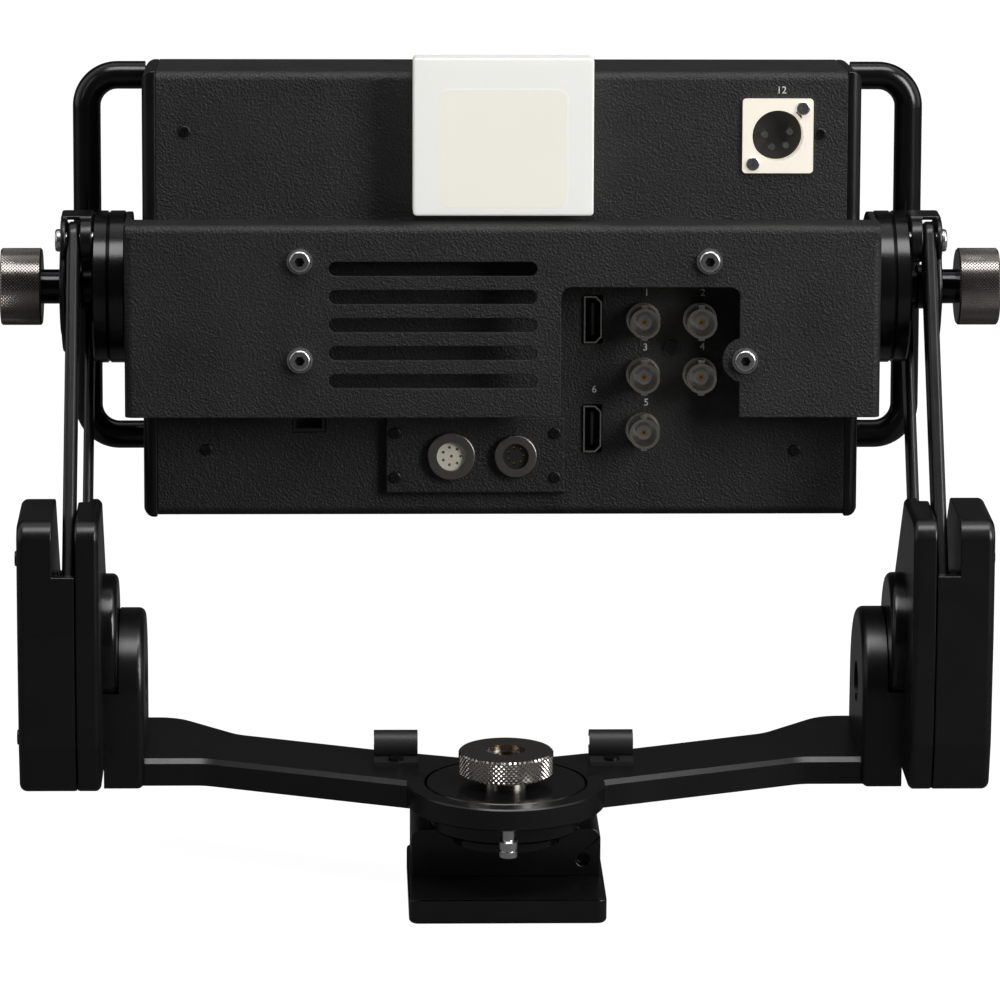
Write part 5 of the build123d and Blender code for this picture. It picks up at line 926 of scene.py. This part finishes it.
def build_studio(sizes):
    """Surroundings: bright behind the object and at its sides, dim on the connector side."""
    world = bpy.data.worlds.new("studio")
    world.use_nodes = True
    tree = world.node_tree
    lit = tree.nodes["Background"]
    lit.inputs["Color"].default_value = WHITE
    direction = tree.nodes.new("ShaderNodeTexCoord")
    parts = tree.nodes.new("ShaderNodeSeparateXYZ")
    ramp = tree.nodes.new("ShaderNodeMapRange")
    ramp.interpolation_type = "SMOOTHSTEP"
    ramp.inputs["From Min"].default_value = DIM_BELOW
    ramp.inputs["From Max"].default_value = BRIGHT_ABOVE
    ramp.inputs["To Min"].default_value = DIM_SIDE * sizes.light
    ramp.inputs["To Max"].default_value = BRIGHT_SIDE * sizes.light
    sides = tree.nodes.new("ShaderNodeMath")
    sides.operation = "ABSOLUTE"
    behind = tree.nodes.new("ShaderNodeMath")
    behind.operation = "MULTIPLY_ADD"
    behind.inputs[1].default_value = SIDE_SHARE
    tree.links.new(direction.outputs["Generated"], parts.inputs["Vector"])
    tree.links.new(parts.outputs["X"], sides.inputs[0])
    tree.links.new(sides.outputs["Value"], behind.inputs[0])
    tree.links.new(parts.outputs["Y"], behind.inputs[2])
    tree.links.new(behind.outputs["Value"], ramp.inputs["Value"])
    tree.links.new(ramp.outputs["Result"], lit.inputs["Strength"])
    seen = tree.nodes.new("ShaderNodeBackground")
    seen.inputs["Color"].default_value = WHITE
    path_info = tree.nodes.new("ShaderNodeLightPath")
    mix = tree.nodes.new("ShaderNodeMixShader")
    tree.links.new(path_info.outputs["Is Camera Ray"], mix.inputs["Fac"])
    tree.links.new(lit.outputs["Background"], mix.inputs[1])
    tree.links.new(seen.outputs["Background"], mix.inputs[2])
    tree.links.new(mix.outputs["Shader"], tree.nodes["World Output"].inputs["Surface"])
    return world


def build_floor():
    """Pale floor that sweeps up behind the object."""
    bm = bmesh.new()
    sweep_start = FLOOR_BACK - SWEEP_RADIUS
    profile = [(FLOOR_FRONT, 0.0), (sweep_start, 0.0)]
    for step in range(1, SWEEP_STEPS + 1):
        angle = math.pi / 2 * step / SWEEP_STEPS
        profile.append((sweep_start + SWEEP_RADIUS * math.sin(angle),
                        SWEEP_RADIUS - SWEEP_RADIUS * math.cos(angle)))
    profile.append((FLOOR_BACK, FLOOR_RISE))
    across = (-FLOOR_HALF_WIDTH, FLOOR_HALF_WIDTH)
    rows = [[bm.verts.new((x, y, z)) for x in across] for y, z in profile]
    for near, far in zip(rows, rows[1:]):
        bm.faces.new((near[0], near[1], far[1], far[0]))
    mesh = bpy.data.meshes.new("pale_floor")
    bm.to_mesh(mesh)
    bm.free()
    for face in mesh.polygons:
        face.use_smooth = True
    floor = bpy.data.objects.new("pale_floor", mesh)
    bpy.context.scene.collection.objects.link(floor)
    material, tree, shader = node_tree("pale_paper")
    fibres = place_texture(tree, "ShaderNodeTexNoise", PAPER_FIBRES, Detail=3.0)
    tone = blend_colours(tree, fibres.outputs["Fac"], (0.10, 0.10, 0.10), (0.12, 0.12, 0.12))
    tree.links.new(tone, shader.inputs["Base Color"])
    shader.inputs["Roughness"].default_value = 0.9
    shader.inputs["Specular IOR Level"].default_value = 0.0
    path_info = tree.nodes.new("ShaderNodeLightPath")
    glow = span(tree, path_info.outputs["Is Camera Ray"], 0.0, FLOOR_GLOW)
    tree.links.new(glow, shader.inputs["Emission Strength"])
    shader.inputs["Emission Color"].default_value = WHITE
    mesh.materials.append(material)


def soft_box(name, place, size, power):
    """Rectangular light that looks at the object."""
    light = bpy.data.lights.new(name, "AREA")
    light.shape = "RECTANGLE"
    light.size, light.size_y = size
    light.energy = power
    lamp = bpy.data.objects.new(name, light)
    aim = Vector(LIGHT_AIM) - Vector(place)
    lamp.location = place
    lamp.rotation_mode = "QUATERNION"
    lamp.rotation_quaternion = aim.to_track_quat("-Z", "Y")
    bpy.context.scene.collection.objects.link(lamp)


def make_camera(scene, sizes):
    """Camera at the photograph's place and angle."""
    data = bpy.data.cameras.new("camera")
    data.lens = sizes.focal_share * data.sensor_width
    data.clip_start = NEAR_LIMIT
    data.clip_end = FAR_LIMIT
    camera = bpy.data.objects.new("camera", data)
    forward = Vector((
        math.sin(CAMERA_YAW) * math.cos(CAMERA_PITCH),
        math.cos(CAMERA_YAW) * math.cos(CAMERA_PITCH),
        -math.sin(CAMERA_PITCH),
    ))
    camera.location = vec(*CAMERA_PLACE)
    camera.rotation_mode = "QUATERNION"
    roll = Quaternion((0.0, 0.0, 1.0), CAMERA_ROLL)
    camera.rotation_quaternion = forward.to_track_quat("-Z", "Y") @ roll
    scene.collection.objects.link(camera)
    scene.camera = camera


class VIEWFINDER_PT_panel(bpy.types.Panel):
    """Sidebar panel with the steps and the sizes"""

    bl_label = "Viewfinder"
    bl_idname = "VIEWFINDER_PT_panel"
    bl_space_type = "VIEW_3D"
    bl_region_type = "UI"
    bl_category = "Viewfinder"

    def draw(self, context):
        layout = self.layout
        for step in STEPS:
            layout.operator(f"viewfinder.{step}")
        scene = context.scene
        for group in (scene.viewfinder_colours, scene.viewfinder_edges, scene.viewfinder_knobs,
                      scene.viewfinder_prints, scene.viewfinder_stage):
            box = layout.box()
            for name in group.bl_rna.properties.keys():
                if name not in ("rna_type", "name"):
                    box.prop(group, name)


STEPS = ("finishes", "edges", "knobs", "tally", "prints", "stage")
CLASSES = (
    FinishColours, EdgeSizes, KnobSizes, PrintSizes, StageSizes,
    VIEWFINDER_OT_finishes, VIEWFINDER_OT_edges, VIEWFINDER_OT_knobs, VIEWFINDER_OT_tally,
    VIEWFINDER_OT_prints, VIEWFINDER_OT_stage, VIEWFINDER_PT_panel,
)


def register():
    """Make the classes and the sizes known to Blender."""
    for one in CLASSES:
        bpy.utils.register_class(one)
    bpy.types.Scene.viewfinder_colours = PointerProperty(type=FinishColours)
    bpy.types.Scene.viewfinder_edges = PointerProperty(type=EdgeSizes)
    bpy.types.Scene.viewfinder_knobs = PointerProperty(type=KnobSizes)
    bpy.types.Scene.viewfinder_prints = PointerProperty(type=PrintSizes)
    bpy.types.Scene.viewfinder_stage = PointerProperty(type=StageSizes)


def unregister():
    """Forget them again."""
    del bpy.types.Scene.viewfinder_stage
    del bpy.types.Scene.viewfinder_prints
    del bpy.types.Scene.viewfinder_knobs
    del bpy.types.Scene.viewfinder_edges
    del bpy.types.Scene.viewfinder_colours
    for one in reversed(CLASSES):
        bpy.utils.unregister_class(one)


def main():
    """Run every step."""
    register()
    for step in STEPS:
        getattr(bpy.ops.viewfinder, step)()


if __name__ == "__main__":
    main()
